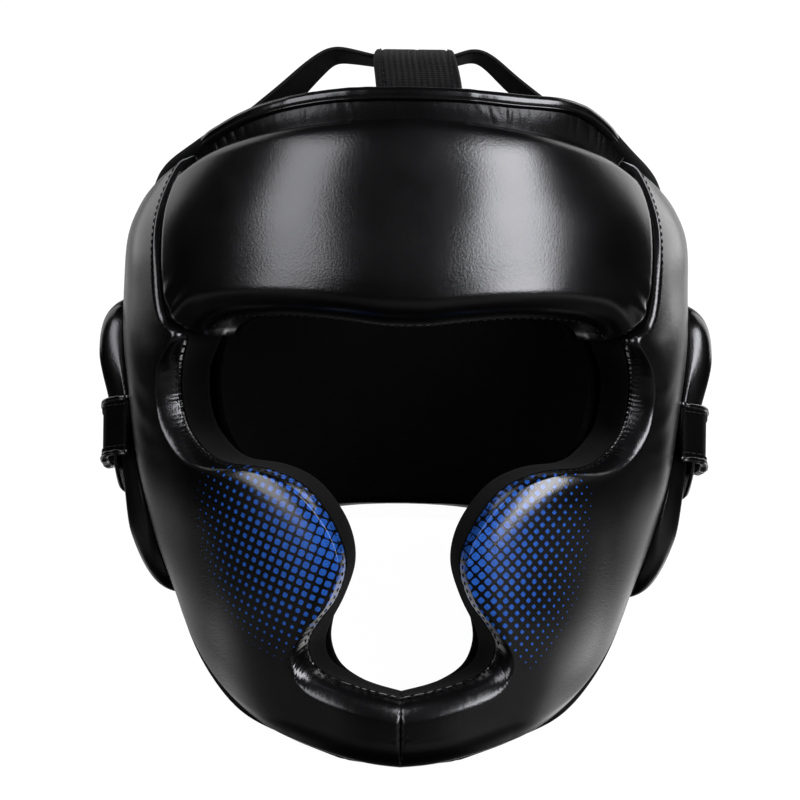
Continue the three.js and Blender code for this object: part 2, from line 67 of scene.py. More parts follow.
# z, half width, front, back
SKIN = np.array([
    [-152, 66, 20, 238], [-130, 77, 15, 245], [-103, 87, 11, 250], [-81, 94.5, 8, 253], [-60, 102, 6, 255],
    [-33, 109.5, 5, 256], [0, 115, 3, 256], [20, 117, 1.2, 256], [45, 117.3, 0, 256], [68, 116.4, 0, 255],
    [82, 110, 1.2, 254], [96, 101.5, 4.5, 252], [110, 93, 13, 248], [122, 85, 27, 244], [134, 73, 46, 236],
], float)
PAD, BACK_PAD, LINING, GAP, SEAM = 26.0, 22.0, 5.0, 0.4, rad(0.45)
# phi, z
RIM = np.array([
    [0, 119.8], [15, 119.2], [28, 116.4], [40, 111.6], [50, 104.8], [58, 98.6], [67, 93.4], [75, 90], [83, 86.2],
    [90, 82], [104, 77], [125, 71], [150, 67], [180, 66],
], float)
# x, z
BROW = np.array([[0, 28.6], [10, 29], [22, 30.6], [42, 32.4], [58, 32.2], [69, 31.0], [78, 27.8], [84.2, 23.8]], float)
HAIRLINE = np.array([[0, 108.4], [20, 107.8], [45, 105], [60, 102.2], [73, 98.8], [84.6, 93.4]], float)
TEMPLE = np.array([
    [84.2, 23.8], [91.2, 29.6], [94.9, 38.8], [96.5, 50], [96.5, 66], [95.1, 76.5], [91.7, 85.6], [84.6, 93.4],
], float)
BROW_ROLL, HAIRLINE_ROLL, TEMPLE_ROLL = (12.0, 15.0), (9.0, 8.0), (3.2, 2.8)
# x, z, phi, low, reach, sink, under: stations from the top rim to the middle of the chin
CHEEK = np.array([
    [86.2, 94.0, 104, 76.5, 3.6, 3, 4], [93.0, 85.6, 104, 68, 3.6, 3, 4], [97.4, 70, 104, 54, 3.6, 3, 4],
    [97.4, 46, 104, 36, 3.4, 3, 4], [93.6, 31.2, 104, 20, 3.4, 4, 4], [87.4, 24.6, 104, 8, 3.4, 4.2, 4],
    [90.2, 14, 104, -6, 4.6, 7.2, 4], [90.6, 0, 104, -20, 4.6, 8.4, 4], [86.4, -14, 104, -36, 5.0, 8.6, 4],
    [74.2, -25.2, 104, -53, 7.0, 9, 3.0], [54, -27.6, 97, -71, 9.6, 9.6, 2.8], [37.5, -35.2, 87, -82.5, 7.5, 10.5, 2.8],
    [26.2, -50.4, 77, -92, 3.6, 11, 3], [21.7, -64.5, 67, -103.5, 3.0, 11, 3.2], [25.6, -78.2, 56, -114.4, 3.6, 10.5, 3.8],
    [32.4, -87.4, 45, -125.4, 5.5, 10, 5.6], [37.0, -97, 33.5, -135.2, 7.5, 10, 8.8], [33.0, -106.6, 22, -141, 8.5, 10.5, 11.5],
    [17.2, -113, 10, -145.4, 9.5, 11, 13], [0, -117, 0, -147, 9.5, 11, 13],
], float)
LIP = np.array([
    [70, 92], [75, 84], [78.5, 69], [78.5, 46], [76, 34], [74, 27], [80, 13], [80.6, -2], [75.2, -14],
    [64.4, -23.8], [48, -26], [33.4, -32.6], [21.8, -47.4], [18.2, -63], [22.8, -78], [28.4, -88.6],
    [31, -97.4], [27.4, -105.6], [13, -112.4], [0, -116],
], float)
JAW_REACH, JAW_TUCK = 11.0, 0.13
RIM_ROLL, CHIN_SEAM = (11.0, 9.0), (2.4, 1.5)
REAR_SEAM = rad(104)
REAR_EDGE = np.array([[104, -58], [118, -60.5], [132, -58.6], [150, -53.6], [165, -50.2], [180, -49]], float)
REAR_ROLL, REAR_SIDE, REAR_TUCK = (10.0, 9.0), (5.0, 4.0), 3.6
EAR = dict(phi=108.5, z=-20.0, across=19.0, up=62.0, proud=12.2, foot=2.6, oval=3.9, crown=20.0, slim=2.1)
EAR_DENT = dict(z=-17.5, half=36.0, deep=4.0)
CLOSURE = dict(z=-18.2, wide=23.6, thick=2.0, drop=0.0)
CLOSURE_PATH = np.array([
    [85.5, 1.8], [87.5, 3.6], [89.5, 8.2], [91, 11.4], [95, 13.6], [100, 14.4], [105, 14.7], [110, 14.8], [115, 14.7],
    [120, 14.4], [126, 11.6], [133, 7.6], [141, 4.4], [150, 2.8], [160, 2], [180, 2],
], float)
TAB = dict(start=92.5, end=117.0, top=-4.0, thick=1.2, below=20.0)
CROWN = dict(x=2.0, wide=34.0, thick=2.6)
CROWN_PATH = np.array([
    [36, 116.5], [43, 127.4], [56, 136], [78, 141.4], [106, 144], [138, 141], [172, 130.5], [202, 113], [224, 92], [237, 71],
], float)
CROSS = dict(y=104.0, wide=22.0, thick=1.8)
CROSS_PATH = np.array([
    [-94, 88.5, 24], [-82, 98.5, 24], [-66, 112.8, 24], [-51, 125.8, 22], [-40, 136.6, 17], [-31.5, 142.8, 11],
    [-22, 142.2, 7], [-12, 140.6, 4], [2, 140.5, 4], [16, 140.7, 4], [26, 143.4, 6], [33, 140.8, 9], [42, 132.6, 12],
    [52, 124.6, 13], [66, 113.6, 15], [82, 99.6, 18], [94, 88.5, 22],
], float)
FRONT_BINDING = dict(to=58.0, high=6.0, deep=7.0, inset=8.0)
REAR_BINDING = dict(high=5.0, deep=6.0, inset=8.5)
JAW_BINDING = dict(across=2.6, depth=0.3, drop=0.9, start=0.5, end=0.985)
RIM_DROP = 4.6


# ------------------------------------------------------------------ curves
def curve(xs, ys, x):
    """Smooth curve through points, held at its ends."""
    xs, ys, x = np.asarray(xs, float), np.asarray(ys, float), np.asarray(x, float)
    last = len(xs) - 1
    i = np.clip(np.searchsorted(xs[1:last], x, side="left"), 0, last - 1)
    k = np.arange(last + 1)
    a, b = np.maximum(k - 1, 0), np.minimum(k + 1, last)
    slope = (ys[b] - ys[a]) / (xs[b] - xs[a])
    w = xs[i + 1] - xs[i]
    t = np.clip((x - xs[i]) / w, 0, 1)
    u = 1 - t
    return (ys[i] * (1 + 2 * t) * u * u + ys[i + 1] * (3 - 2 * t) * t * t
            + w * t * u * (slope[i] * u - slope[i + 1] * t))


def soften(values, sigma):
    """Gaussian smoothing along the first axis, with the ends carried on straight."""
    n = int(4 * sigma) + 1
    k = np.exp(-0.5 * (np.arange(-n, n + 1) / sigma) ** 2)
    k /= k.sum()
    v = np.asarray(values, float)
    head = 2 * v[0] - v[n:0:-1]
    tail = 2 * v[-1] - v[-2:-n - 2:-1]
    return np.convolve(np.concatenate([head, v, tail]), k, mode="valid")


def ease(a, b, x):
    t = np.clip((x - a) / (b - a), 0, 1)
    return t * t * (3 - 2 * t)


FINE = np.linspace(0, 1, 1521)


def stations(column, sigma=14):
    n = len(column)
    return soften(curve(np.linspace(0, 1, n), column, FINE), sigma)


def mirrored(column, odd, sigma=40):
    """An edge from the middle outwards, smoothed across the middle."""
    v = curve(np.linspace(0, 1, len(column)), column, FINE)
    both = np.concatenate([(-v if odd else v)[:0:-1], v])
    return soften(both, sigma)[len(v) - 1:]


def at(values, s):
    return np.interp(s, FINE, values)


Z_FINE = np.arange(-200, 180, 0.5)
HALF, FRONT, BACK = (soften(curve(SKIN[:, 0], SKIN[:, k], Z_FINE), 10) for k in (1, 2, 3))


# ------------------------------------------------------------------ the skin
def skin(phi, z):
    phi, z = np.broadcast_arrays(np.asarray(phi, float), np.asarray(z, float))
    half = np.interp(z, Z_FINE, HALF)
    c, s = np.cos(phi), np.sin(phi)
    reach = np.where(c > 0, AXIS_Y - np.interp(z, Z_FINE, FRONT), np.interp(z, Z_FINE, BACK) - AXIS_Y)
    r = ((np.abs(c) / reach) ** SQUARE + (np.abs(s) / half) ** SQUARE) ** (-1 / SQUARE)
    return np.stack([r * s, AXIS_Y - r * c, z], -1)


def unit(v):
    return v / (np.linalg.norm(v, axis=-1, keepdims=True) + 1e-12)


def outward(phi, z):
    e, k = 0.01, 1.0
    return unit(np.cross(skin(phi + e, z) - skin(phi - e, z), skin(phi, z + k) - skin(phi, z - k)))


def under(phi, z, depth):
    return skin(phi, z) - outward(phi, z) * np.asarray(depth, float)[..., None]


def facing(x, z, depth):
    """Where on the skin a point at that depth shows at x, z from the front."""
    x, z, depth = np.broadcast_arrays(np.asarray(x, float), np.asarray(z, float), np.asarray(depth, float))
    phi, h = np.arcsin(np.minimum(x / np.interp(z, Z_FINE, HALF), 0.95)), z.copy()
    for _ in range(16):
        p, e = under(phi, h, depth), 1e-3
        dx = (under(phi + e, h, depth)[..., 0] - p[..., 0]) / e
        phi = np.clip(phi + 0.8 * (x - p[..., 0]) / dx, -0.2, 1.4)
        h = h + 0.8 * (z - p[..., 2])
    return phi, h


def roll(distance, reach, sink):
    q = 1 - np.clip(distance / reach, 0, 1)
    return sink * (1 - np.sqrt(np.maximum(1 - q * q, 0)))


def near_roll(distance, reach, sink, s):
    """The opening's edge. Beside the eye it is a wall with a crest, on the lobe a gentle fall and then a tight roll."""
    q = 1 - np.clip(distance / reach, 0, 1)
    c = 1.0
    wall = sink * (np.sqrt(q * q + c * c) - c) / (math.sqrt(1 + c * c) - c)
    w = ease(0.27, 0.33, s) * (1 - ease(0.43, 0.51, s))
    lobe = ease(0.43, 0.51, s) * (1 - ease(0.76, 0.83, s))
    deep = 2.0 + 0.8 * (1 - ease(0.54, 0.64, s))
    fall = deep * lobe * (1 - np.clip(distance / 12, 0, 1)) ** 2
    tight = reach * (1 - lobe) + (1.8 - 1.0 * ease(0.58, 0.64, s)) * lobe
    return wall * w + (roll(distance, tight, sink - deep * lobe) + fall) * (1 - w)


def turned(phi):
    a = np.abs(phi)
    return np.where(a > math.pi, 2 * math.pi - a, a)


def rim_z(phi):
    return curve(RIM[:, 0], RIM[:, 1], np.degrees(turned(phi)))


def rim_foot(phi):
    z = rim_z(phi)
    return z - RIM_DROP + REAR_BINDING["inset"] * outward(phi, z)[..., 2]


def upright_to_row(p):
    """Upright millimetres to the row's frame in metres, pressed flat on the surface."""
    x, y, z = p[..., 0], p[..., 1], p[..., 2]
    q = np.stack([
        x, y * math.cos(LEAN) + z * math.sin(LEAN) + CENTRE_Y, -y * math.sin(LEAN) + z * math.cos(LEAN) + FLOOR_LIFT,
    ], -1)
    q[..., 2] = np.maximum(q[..., 2], 0.0)
    return q * 0.001


# ------------------------------------------------------------------ noise
def noise1(x, seed):
    table = np.random.default_rng(seed).uniform(-1, 1, 2048)
    i = np.floor(x).astype(int)
    f = x - i
    f = f * f * (3 - 2 * f)
    return table[i % 2048] * (1 - f) + table[(i + 1) % 2048] * f


def noise3(p, size, seed, waves=9):
    """Soft unevenness over points, about -1 to 1, with features of that size."""
    rng = np.random.default_rng(seed)
    total = np.zeros(p.shape[:-1])
    for _ in range(waves):
        d = unit(rng.normal(size=3)) * 2 * math.pi / (size * rng.uniform(0.8, 1.7))
        total += np.sin(p @ d + rng.uniform(0, 2 * math.pi))
    return total / math.sqrt(waves)


def gathers(along, distance, pitch, length, seed):
    """Gathered leather: rounded ridges with sharp valleys, running in from a seam. About -0.6 to 0.5."""
    phase = along / pitch + 0.45 * noise1(along / (2.3 * pitch), seed)
    k = np.floor(phase).astype(int)
    own = np.random.default_rng(seed + 1).uniform(0.35, 1.0, 4096)[k % 4096]
    ridge = np.abs(np.sin(math.pi * phase)) ** 0.8 - 0.6
    return ridge * (0.3 + 0.7 * own) * (1 - ease(0.25, 1.0, distance / (length * (0.45 + 0.65 * own))))


# ------------------------------------------------------------------ meshes
MADE = []


def make(name, points, faces, material, replaces=(), attributes=(), placed=False):
    """A smooth mesh from points (upright mm) and quads or triangles, riding on the one body."""
    pts = points if placed else upright_to_row(points)
    quads = [np.asarray(f, np.int64) for f in faces if len(f)]
    volume = 0.0
    for f in quads:
        for k in range(1, f.shape[1] - 1):
            volume += np.einsum("ij,ij->i", pts[f[:, 0]], np.cross(pts[f[:, k]], pts[f[:, k + 1]])).sum()
    if volume < 0:
        quads = [f[:, ::-1] for f in quads]
    mesh = bpy.data.meshes.new(name)
    mesh.vertices.add(len(pts))
    mesh.vertices.foreach_set("co", pts.astype(np.float32).ravel())
    sizes = np.concatenate([np.full(len(f), f.shape[1]) for f in quads])
    loops = np.concatenate([f.ravel() for f in quads])
    mesh.loops.add(len(loops))
    mesh.loops.foreach_set("vertex_index", loops.astype(np.int32))
    mesh.polygons.add(len(sizes))
    mesh.polygons.foreach_set("loop_start", (np.cumsum(sizes) - sizes).astype(np.int32))
    mesh.polygons.foreach_set("use_smooth", np.ones(len(sizes), bool))
    mesh.update(calc_edges=True)
    mesh.validate()
    for key, kind, values in attributes:
        layer = mesh.attributes.new(key, kind, "POINT")
        layer.data.foreach_set("vector" if kind == "FLOAT_VECTOR" else "value", np.asarray(values, np.float32).ravel())
    mesh.materials.append(material)
    obj = bpy.data.objects.new(name, mesh)
    bpy.context.scene.collection.objects.link(obj)
    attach(obj, "root")
    if replaces:
        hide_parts(*replaces)
    MADE.append(obj)
    return obj


def zipper(p, q):
    """Triangles between two lines of point numbers."""
    out, i, j = [], 0, 0
    while i < len(p) - 1 or j < len(q) - 1:
        if j == len(q) - 1 or (i < len(p) - 1 and (i + 1) / (len(p) - 1) <= (j + 1) / (len(q) - 1)):
            out.append((p[i], p[i + 1], q[j]))
            i += 1
        else:
            out.append((p[i], q[j + 1], q[j]))
            j += 1
    return np.array(out, np.int64)


def sheet_quads(a):
    return np.stack([a[:-1, :-1], a[1:, :-1], a[1:, 1:], a[:-1, 1:]], -1).reshape(-1, 4)


def shell(outer, inner):
    """A closed wall between two grids with the same columns."""
    n, m, k = outer.shape[0], outer.shape[1], inner.shape[1]
    a = np.arange(n * m).reshape(n, m)
    b = n * m + np.arange(n * k).reshape(n, k)
    low = np.stack([b[:-1, 0], b[1:, 0], a[1:, 0], a[:-1, 0]], -1)
    top = np.stack([a[:-1, -1], a[1:, -1], b[1:, -1], b[:-1, -1]], -1)
    return (np.concatenate([outer.reshape(-1, 3), inner.reshape(-1, 3)]),
            [sheet_quads(a), sheet_quads(b)[:, ::-1], low, top, zipper(b[0], a[0]), zipper(a[-1], b[-1])])


def ring_out(p, o, depth=2.5):
    """A grid with one more ring of points straight in from its border."""
    q, n = np.pad(p, ((1, 1), (1, 1), (0, 0)), mode="edge"), np.pad(o, ((1, 1), (1, 1), (0, 0)), mode="edge")
    border = np.zeros(q.shape[:2] + (1,))
    border[0], border[-1], border[:, 0], border[:, -1] = 1, 1, 1, 1
    return q - n * depth * border


def ring_value(v):
    return np.pad(v, 1, mode="edge")


def grid_normals(p, o):
    n = unit(np.cross(np.gradient(p, axis=0), np.gradient(p, axis=1)))
    return -n if (n * o).sum() < 0 else n


def swept(points, wide, high, section, closed=False):
    """A section carried along a path. section is (k, 2) or, changing on the way, (n, k, 2)."""
    n = len(points)
    section = np.broadcast_to(section, (n,) + np.shape(section)[-2:])
    k = section.shape[1]
    p = points[:, None] + wide[:, None] * section[..., :1] + high[:, None] * section[..., 1:]
    idx = np.arange(n * k).reshape(n, k)
    nxt = np.roll(idx, -1, 1)
    if closed:
        up, upn = np.roll(idx, -1, 0), np.roll(nxt, -1, 0)
        faces = [np.stack([idx, nxt, upn, up], -1).reshape(-1, 4)]
    else:
        faces = [np.stack([idx[:-1], nxt[:-1], nxt[1:], idx[1:]], -1).reshape(-1, 4)]
        a, b = idx[0], idx[-1]
        faces.append(np.array([(a[0], a[i + 1], a[i]) for i in range(1, k - 1)]))
        faces.append(np.array([(b[0], b[i], b[i + 1]) for i in range(1, k - 1)]))
    return p.reshape(-1, 3), faces


def lengths(path):
    return np.concatenate([[0], np.cumsum(np.linalg.norm(np.diff(path, axis=0), axis=1))])


def resample(path, n, *others):
    l = lengths(path)
    t = np.linspace(0, l[-1], n)
    out = [np.stack([np.interp(t, l, v[:, k]) for k in range(v.shape[1])], -1) for v in (path, *others)]
    return out if others else out[0]


def tangents(path):
    return unit(np.gradient(path, axis=0))


def round_section(wide, high, count):
    a = np.linspace(0, 2 * math.pi, count, endpoint=False)
    return np.stack([wide / 2 * np.cos(a), high / 2 * np.sin(a)], -1)


def tape_section(wide, thick, across=14, corner=4, bead=0.0):
    """A flat tape with round edges, and a bead on its upper side along each edge if asked."""
    r = thick / 2
    w = wide / 2 - r
    x = np.linspace(w, -w, across)
    lift = bead * np.exp(-((w - np.abs(x)) / 1.6) ** 2 * 1.2)
    top = np.stack([x, r + lift], -1)
    a = np.linspace(math.pi / 2, 1.5 * math.pi, corner + 2)[1:-1]
    left = np.stack([-w - r * np.sin(a - math.pi / 2) * 1.0, r * np.cos(a - math.pi / 2) + bead * (1 + np.cos(a - math.pi / 2)) / 2], -1)
    low = np.stack([x[::-1], np.full(across, -r)], -1)
    right = np.stack([-left[::-1, 0], left[::-1, 1]], -1)
    return np.concatenate([top, left, low, right])


def thread_points(path, normals, length=2.3, gap=1.0, radius=0.3, lift=0.1, seed=0, slant=0.0):
    """Stitches along a path on a surface, as one joined mesh."""
    l = lengths(path)
    step = length + gap
    count = int(l[-1] // step)
    if count < 1:
        return np.zeros((0, 3)), np.zeros((0, 4), int), np.zeros((0, 3), int)
    rng = np.random.default_rng(seed)
    mid = (np.arange(count) + 0.5) * (l[-1] / count)
    take = lambda v, t: np.stack([np.interp(t, l, v[:, k]) for k in range(3)], -1)
    a, b = take(path, mid - length / 2), take(path, mid + length / 2)
    n = unit(take(normals, mid))
    axis = unit(b - a)
    side = unit(np.cross(n, axis))
    if slant:
        axis = unit(axis + side * slant)
        side = unit(np.cross(n, axis))
    centre = (a + b) / 2 + n * lift + side * rng.normal(0, 0.05, (count, 1))
    place = np.array([-1, -0.82, -0.4, 0.4, 0.82, 1])
    girth = np.array([0.35, 0.85, 1, 1, 0.85, 0.35])
    sink = np.array([-0.75, -0.3, 0, 0, -0.3, -0.75])
    sides = np.linspace(0, 2 * math.pi, 6, endpoint=False)
    half = length / 2 * rng.uniform(0.93, 1.04, (count, 1, 1))
    p = (centre[:, None, None] + axis[:, None, None] * (place[None, :, None] * half)[..., None]
         + n[:, None, None] * ((sink[:, None] * radius * 1.4 + girth[:, None] * radius * np.sin(sides)[None])[None, ..., None])
         + side[:, None, None] * ((girth[:, None] * radius * np.cos(sides)[None])[None, ..., None]))
    rings, k = 6, 6
    idx = np.arange(count * rings * k).reshape(count, rings, k)
    nxt = np.roll(idx, -1, 2)
    quads = np.stack([idx[:, :-1], nxt[:, :-1], nxt[:, 1:], idx[:, 1:]], -1).reshape(-1, 4)
    fan = [np.stack([idx[:, 0, 0], idx[:, 0, i + 1], idx[:, 0, i]], -1) for i in range(1, k - 1)]
    fan += [np.stack([idx[:, -1, 0], idx[:, -1, i], idx[:, -1, i + 1]], -1) for i in range(1, k - 1)]
    return p.reshape(-1, 3), quads, np.concatenate(fan)


def stitches(name, lines, material):
    """lines: (path, normals, options) each."""
    pts, quads, tris, base = [], [], [], 0
    for path, normals, options in lines:
        p, q, t = thread_points(path, normals, **options)
        if len(p):
            pts.append(p), quads.append(q + base), tris.append(t + base)
            base += len(p)
    return make(name, np.concatenate(pts), [np.concatenate(quads), np.concatenate(tris)], material)


def side_of(points, side):
    return points * np.array([side, 1.0, 1.0])


# ------------------------------------------------------------------ materials
class Nodes:
    def __init__(self, name):
        self.material = bpy.data.materials.new(name)
        self.material.use_nodes = True
        self.tree = self.material.node_tree
        self.tree.nodes.clear()
        self.out = self.tree.nodes.new("ShaderNodeOutputMaterial")
        self.shader = self.tree.nodes.new("ShaderNodeBsdfPrincipled")
        self.tree.links.new(self.shader.outputs[0], self.out.inputs[0])

    def node(self, kind, inputs=None, **settings):
        n = self.tree.nodes.new(kind)
        for k, v in settings.items():
            setattr(n, k, v)
        for k, v in (inputs or {}).items():
            if isinstance(v, bpy.types.NodeSocket):
                self.tree.links.new(v, n.inputs[k])
            else:
                n.inputs[k].default_value = v
        return n

    def math(self, operation, *values, clamp=False):
        return self.node("ShaderNodeMath", dict(enumerate(values)), operation=operation, use_clamp=clamp).outputs[0]

    def vector(self, operation, *values):
        n = self.node("ShaderNodeVectorMath", dict(enumerate(values)), operation=operation)
        return n.outputs["Value"] if operation in ("LENGTH", "DOT_PRODUCT") else n.outputs["Vector"]

    def noise(self, coordinates, scale, detail=2.0, roughness=0.5):
        return self.node("ShaderNodeTexNoise", {"Vector": coordinates, "Scale": scale, "Detail": detail, "Roughness": roughness}).outputs["Fac"]

    def span(self, value, low, high, a=0.0, b=1.0):
        return self.node("ShaderNodeMapRange", {"Value": value, "From Min": a, "From Max": b, "To Min": low, "To Max": high}).outputs[0]

    def mix(self, factor, a, b):
        n = self.node("ShaderNodeMix", data_type="RGBA")
        for socket, v in ((n.inputs[0], factor), (n.inputs[6], a), (n.inputs[7], b)):
            if isinstance(v, bpy.types.NodeSocket):
                self.tree.links.new(v, socket)
            else:
                socket.default_value = v
        return n.outputs[2]

    def set(self, **sockets):
        for k, v in sockets.items():
            socket = self.shader.inputs[k.replace("_", " ")]
            if isinstance(v, bpy.types.NodeSocket):
                self.tree.links.new(v, socket)
            else:
                socket.default_value = v
        return self

    def bump(self, height, distance, strength=1.0, after=None):
        inputs = {"Height": height, "Distance": distance, "Strength": strength}
        if after is not None:
            inputs["Normal"] = after
        return self.node("ShaderNodeBump", inputs).outputs[0]


def leather(name, rough=0.21, base=(0.0013, 0.0013, 0.0014), grain=0.8, dots=None, spec=0.5):
    n = Nodes(name)
    place = n.node("ShaderNodeTexCoord").outputs["Object"]
    fine = n.noise(place, 1700, 3, 0.6)
    cells = n.node("ShaderNodeTexVoronoi", {"Vector": place, "Scale": 1300.0, "Randomness": 1.0}, feature="SMOOTH_F1").outputs["Distance"]
    broad = n.noise(place, 42, 2)
    height = n.math("ADD", n.math("MULTIPLY", fine, 0.6), n.math("MULTIPLY", cells, 0.5))
    normal = n.bump(height, 0.00013 * grain, 0.6)
    normal = n.bump(broad, 0.0008, 0.12, after=normal)
    colour = n.mix(n.span(broad, 0.0, 1.0, 0.35, 0.65), tuple(c * 0.85 for c in base) + (1,), tuple(c * 1.2 for c in base) + (1,))
    if dots:
        colour = dotted(n, colour, **dots)
    n.set(Base_Color=colour, Roughness=n.span(n.math("ADD", n.math("MULTIPLY", broad, 0.6), n.math("MULTIPLY", fine, 0.4)), rough - 0.03, rough + 0.04, 0.3, 0.7),
          Specular_IOR_Level=spec, Normal=normal)
    return n.material


def dotted(n, colour, turn, pitch, reach, most, blue):
    """A printed halftone: rounded squares on a turned lattice that shrink away from the lobe's tip."""
    at_mm = n.node("ShaderNodeAttribute", attribute_name="print").outputs["Vector"]
    lattice = n.node("ShaderNodeMapping", {"Vector": at_mm, "Rotation": (0, 0, turn), "Scale": (1 / pitch,) * 3}).outputs[0]
    cell = n.vector("ADD", n.vector("FLOOR", lattice), (0.5, 0.5, 0.0))
    flat = n.vector("MULTIPLY", n.vector("SUBTRACT", lattice, cell), (1, 1, 0))
    middle = n.node("ShaderNodeVectorRotate", {"Vector": n.vector("MULTIPLY", cell, (pitch, pitch, 0)), "Angle": -turn}, rotation_type="Z_AXIS").outputs[0]
    far = n.vector("LENGTH", n.vector("DIVIDE", middle, (reach[0], reach[1], 1.0)))
    left = n.math("MAXIMUM", n.math("SUBTRACT", 1.0, far), 0.0)
    size = n.math("MULTIPLY", n.math("POWER", left, 0.65), most / 2)
    size = n.math("MULTIPLY", size, n.node("ShaderNodeSeparateXYZ", {0: at_mm}).outputs[2])
    xyz = n.node("ShaderNodeSeparateXYZ", {0: n.vector("ABSOLUTE", flat)})
    power = 3.4
    dist = n.math("POWER", n.math("ADD", n.math("POWER", xyz.outputs[0], power), n.math("POWER", xyz.outputs[1], power)), 1 / power)
    mask = n.math("ADD", n.math("MULTIPLY", n.math("SUBTRACT", size, dist), 14.0), 0.5, clamp=True)
    mask = n.math("MULTIPLY", mask, n.math("GREATER_THAN", size, 0.03))
    place = n.node("ShaderNodeTexCoord").outputs["Object"]
    ink = n.mix(n.span(n.noise(place, 1500, 3, 0.7), 0.0, 1.0, 0.3, 0.7), tuple(c * 0.6 for c in blue) + (1,), tuple(c * 1.45 for c in blue) + (1,))
    return n.mix(mask, colour, ink)


def suede(name, base=(0.02, 0.02, 0.0205), sheen=0.25):
    n = Nodes(name)
    place = n.node("ShaderNodeTexCoord").outputs["Object"]
    nap, patches = n.noise(place, 1300, 4, 0.7), n.noise(place, 130, 3)
    both = n.math("ADD", n.math("MULTIPLY", nap, 0.65), n.math("MULTIPLY", patches, 0.35))
    n.set(Base_Color=n.mix(n.span(both, 0, 1, 0.33, 0.67), tuple(c * 0.55 for c in base) + (1,), tuple(c * 1.55 for c in base) + (1,)),
          Roughness=0.95, Specular_IOR_Level=0.06, Sheen_Weight=sheen, Sheen_Roughness=0.5,
          Normal=n.bump(nap, 0.0004, 0.7))
    return n.material


def woven(name, base=(0.008, 0.008, 0.0085), pitch=1.0, twill=0.5, rough=0.7, ribs=0.0, sheen=0.12, depth=0.00025, spec=0.2):
    """Weave from the tape's own lengths: x along it and y across it, in millimetres."""
    n = Nodes(name)
    mm = n.node("ShaderNodeAttribute", attribute_name="weave").outputs["Vector"]
    place = n.node("ShaderNodeTexCoord").outputs["Object"]
    xyz = n.node("ShaderNodeSeparateXYZ", {0: mm})
    along, across = xyz.outputs[0], xyz.outputs[1]
    k = 2 * math.pi / pitch
    warp = n.math("SINE", n.math("MULTIPLY", across, k))
    weft = n.math("SINE", n.math("ADD", n.math("MULTIPLY", along, k), n.math("MULTIPLY", across, k * twill)))
    weave = n.math("ADD", n.math("MULTIPLY", n.math("MULTIPLY", warp, weft), 0.5), n.math("MULTIPLY", weft, 0.35))
    if ribs:
        weave = n.math("ADD", weave, n.math("MULTIPLY", n.math("SINE", n.math("MULTIPLY", across, 2 * math.pi / ribs)), 0.8))
    rough_noise = n.noise(place, 1400, 3, 0.65)
    height = n.math("ADD", n.math("MULTIPLY", weave, 0.5), n.math("MULTIPLY", rough_noise, 0.9))
    n.set(Base_Color=n.mix(n.span(height, 0, 1, -0.2, 1.0), tuple(c * 0.5 for c in base) + (1,), tuple(c * 1.5 for c in base) + (1,)),
          Roughness=n.span(rough_noise, rough - 0.1, rough + 0.1, 0.3, 0.7), Specular_IOR_Level=spec,
          Sheen_Weight=sheen, Sheen_Roughness=0.4, Normal=n.bump(height, depth, 0.8))
    return n.material


def thread_material(name, base=(0.012, 0.012, 0.013), rough=0.45):
    n = Nodes(name)
    place = n.node("ShaderNodeTexCoord").outputs["Object"]
    twist = n.noise(place, 2600, 2)
    n.set(Base_Color=n.mix(twist, tuple(c * 0.5 for c in base) + (1,), tuple(c * 1.5 for c in base) + (1,)),
          Roughness=n.span(twist, rough - 0.1, rough + 0.1), Specular_IOR_Level=0.15, Normal=n.bump(twist, 0.0001, 0.6))
    return n.material


BLUE = (0.009, 0.050, 0.215)
LEATHER = leather("leather_satin")
LEATHER_LEFT = leather("leather_dots_left", dots=dict(turn=rad(22), pitch=3.6, reach=(70, 56), most=0.9, blue=BLUE))
LEATHER_RIGHT = leather("leather_dots_right", dots=dict(turn=rad(45), pitch=3.5, reach=(58, 67), most=0.9, blue=BLUE))
LEATHER_GLOSS = leather("leather_gloss", rough=0.18, grain=0.4)
LEATHER_STRIP = leather("leather_strip", rough=0.26, grain=0.8, spec=0.22)
LEATHER_STRAP = leather("leather_strap", rough=0.55, base=(0.0006, 0.0006, 0.0007), grain=0.4, spec=0.03)
SUEDE = suede("suede", base=(0.0015, 0.0015, 0.0015), sheen=0.01)
# a darker copy of the suede for the linings inside the headgear: painted shade for the dim inside
SUEDE_PAINTED_SHADE = suede("suede_painted_shade", base=(0.0008, 0.0008, 0.0009), sheen=0.0)
WEBBING = woven("webbing", base=(0.0016, 0.0016, 0.0017), sheen=0.0, spec=0.12)
BINDING = woven("binding_tape", base=(0.001, 0.001, 0.0011), pitch=0.9, rough=0.75, sheen=0.0, spec=0.1)
ELASTIC = woven("elastic", base=(0.0012, 0.0012, 0.0013), pitch=1.3, twill=0.0, ribs=2.4, rough=0.5, depth=0.0008, sheen=0.0, spec=0.1)
THREAD = thread_material("thread", base=(0.003, 0.003, 0.0033), rough=0.5)
THREAD_DARK = thread_material("thread_dark", base=(0.0008, 0.0008, 0.0009), rough=0.9)


# ------------------------------------------------------------------ forehead
def edge_spread(count, share, flip=False):
    """Places from 0 to share, close together at 0 as a quarter circle's are."""
    a = np.linspace(math.pi / 2, 0, count)
    return share * (1 - np.sin(a))


def three_part(first, n1, middle, last, n2):
    a, b = edge_spread(n1, first), 1 - edge_spread(n2, last)[::-1]
    return np.concatenate([a[:-1], np.linspace(first, 1 - last, middle), b[1:]])


BROW_X, BROW_Z = mirrored(BROW[:, 0], True), mirrored(BROW[:, 1], False)
HAIR_X, HAIR_Z = mirrored(HAIRLINE[:, 0], True), mirrored(HAIRLINE[:, 1], False)
TEMPLE_X, TEMPLE_Z = (soften(curve(np.linspace(0, 1, len(TEMPLE)), TEMPLE[:, k], FINE), 30) for k in (0, 1))


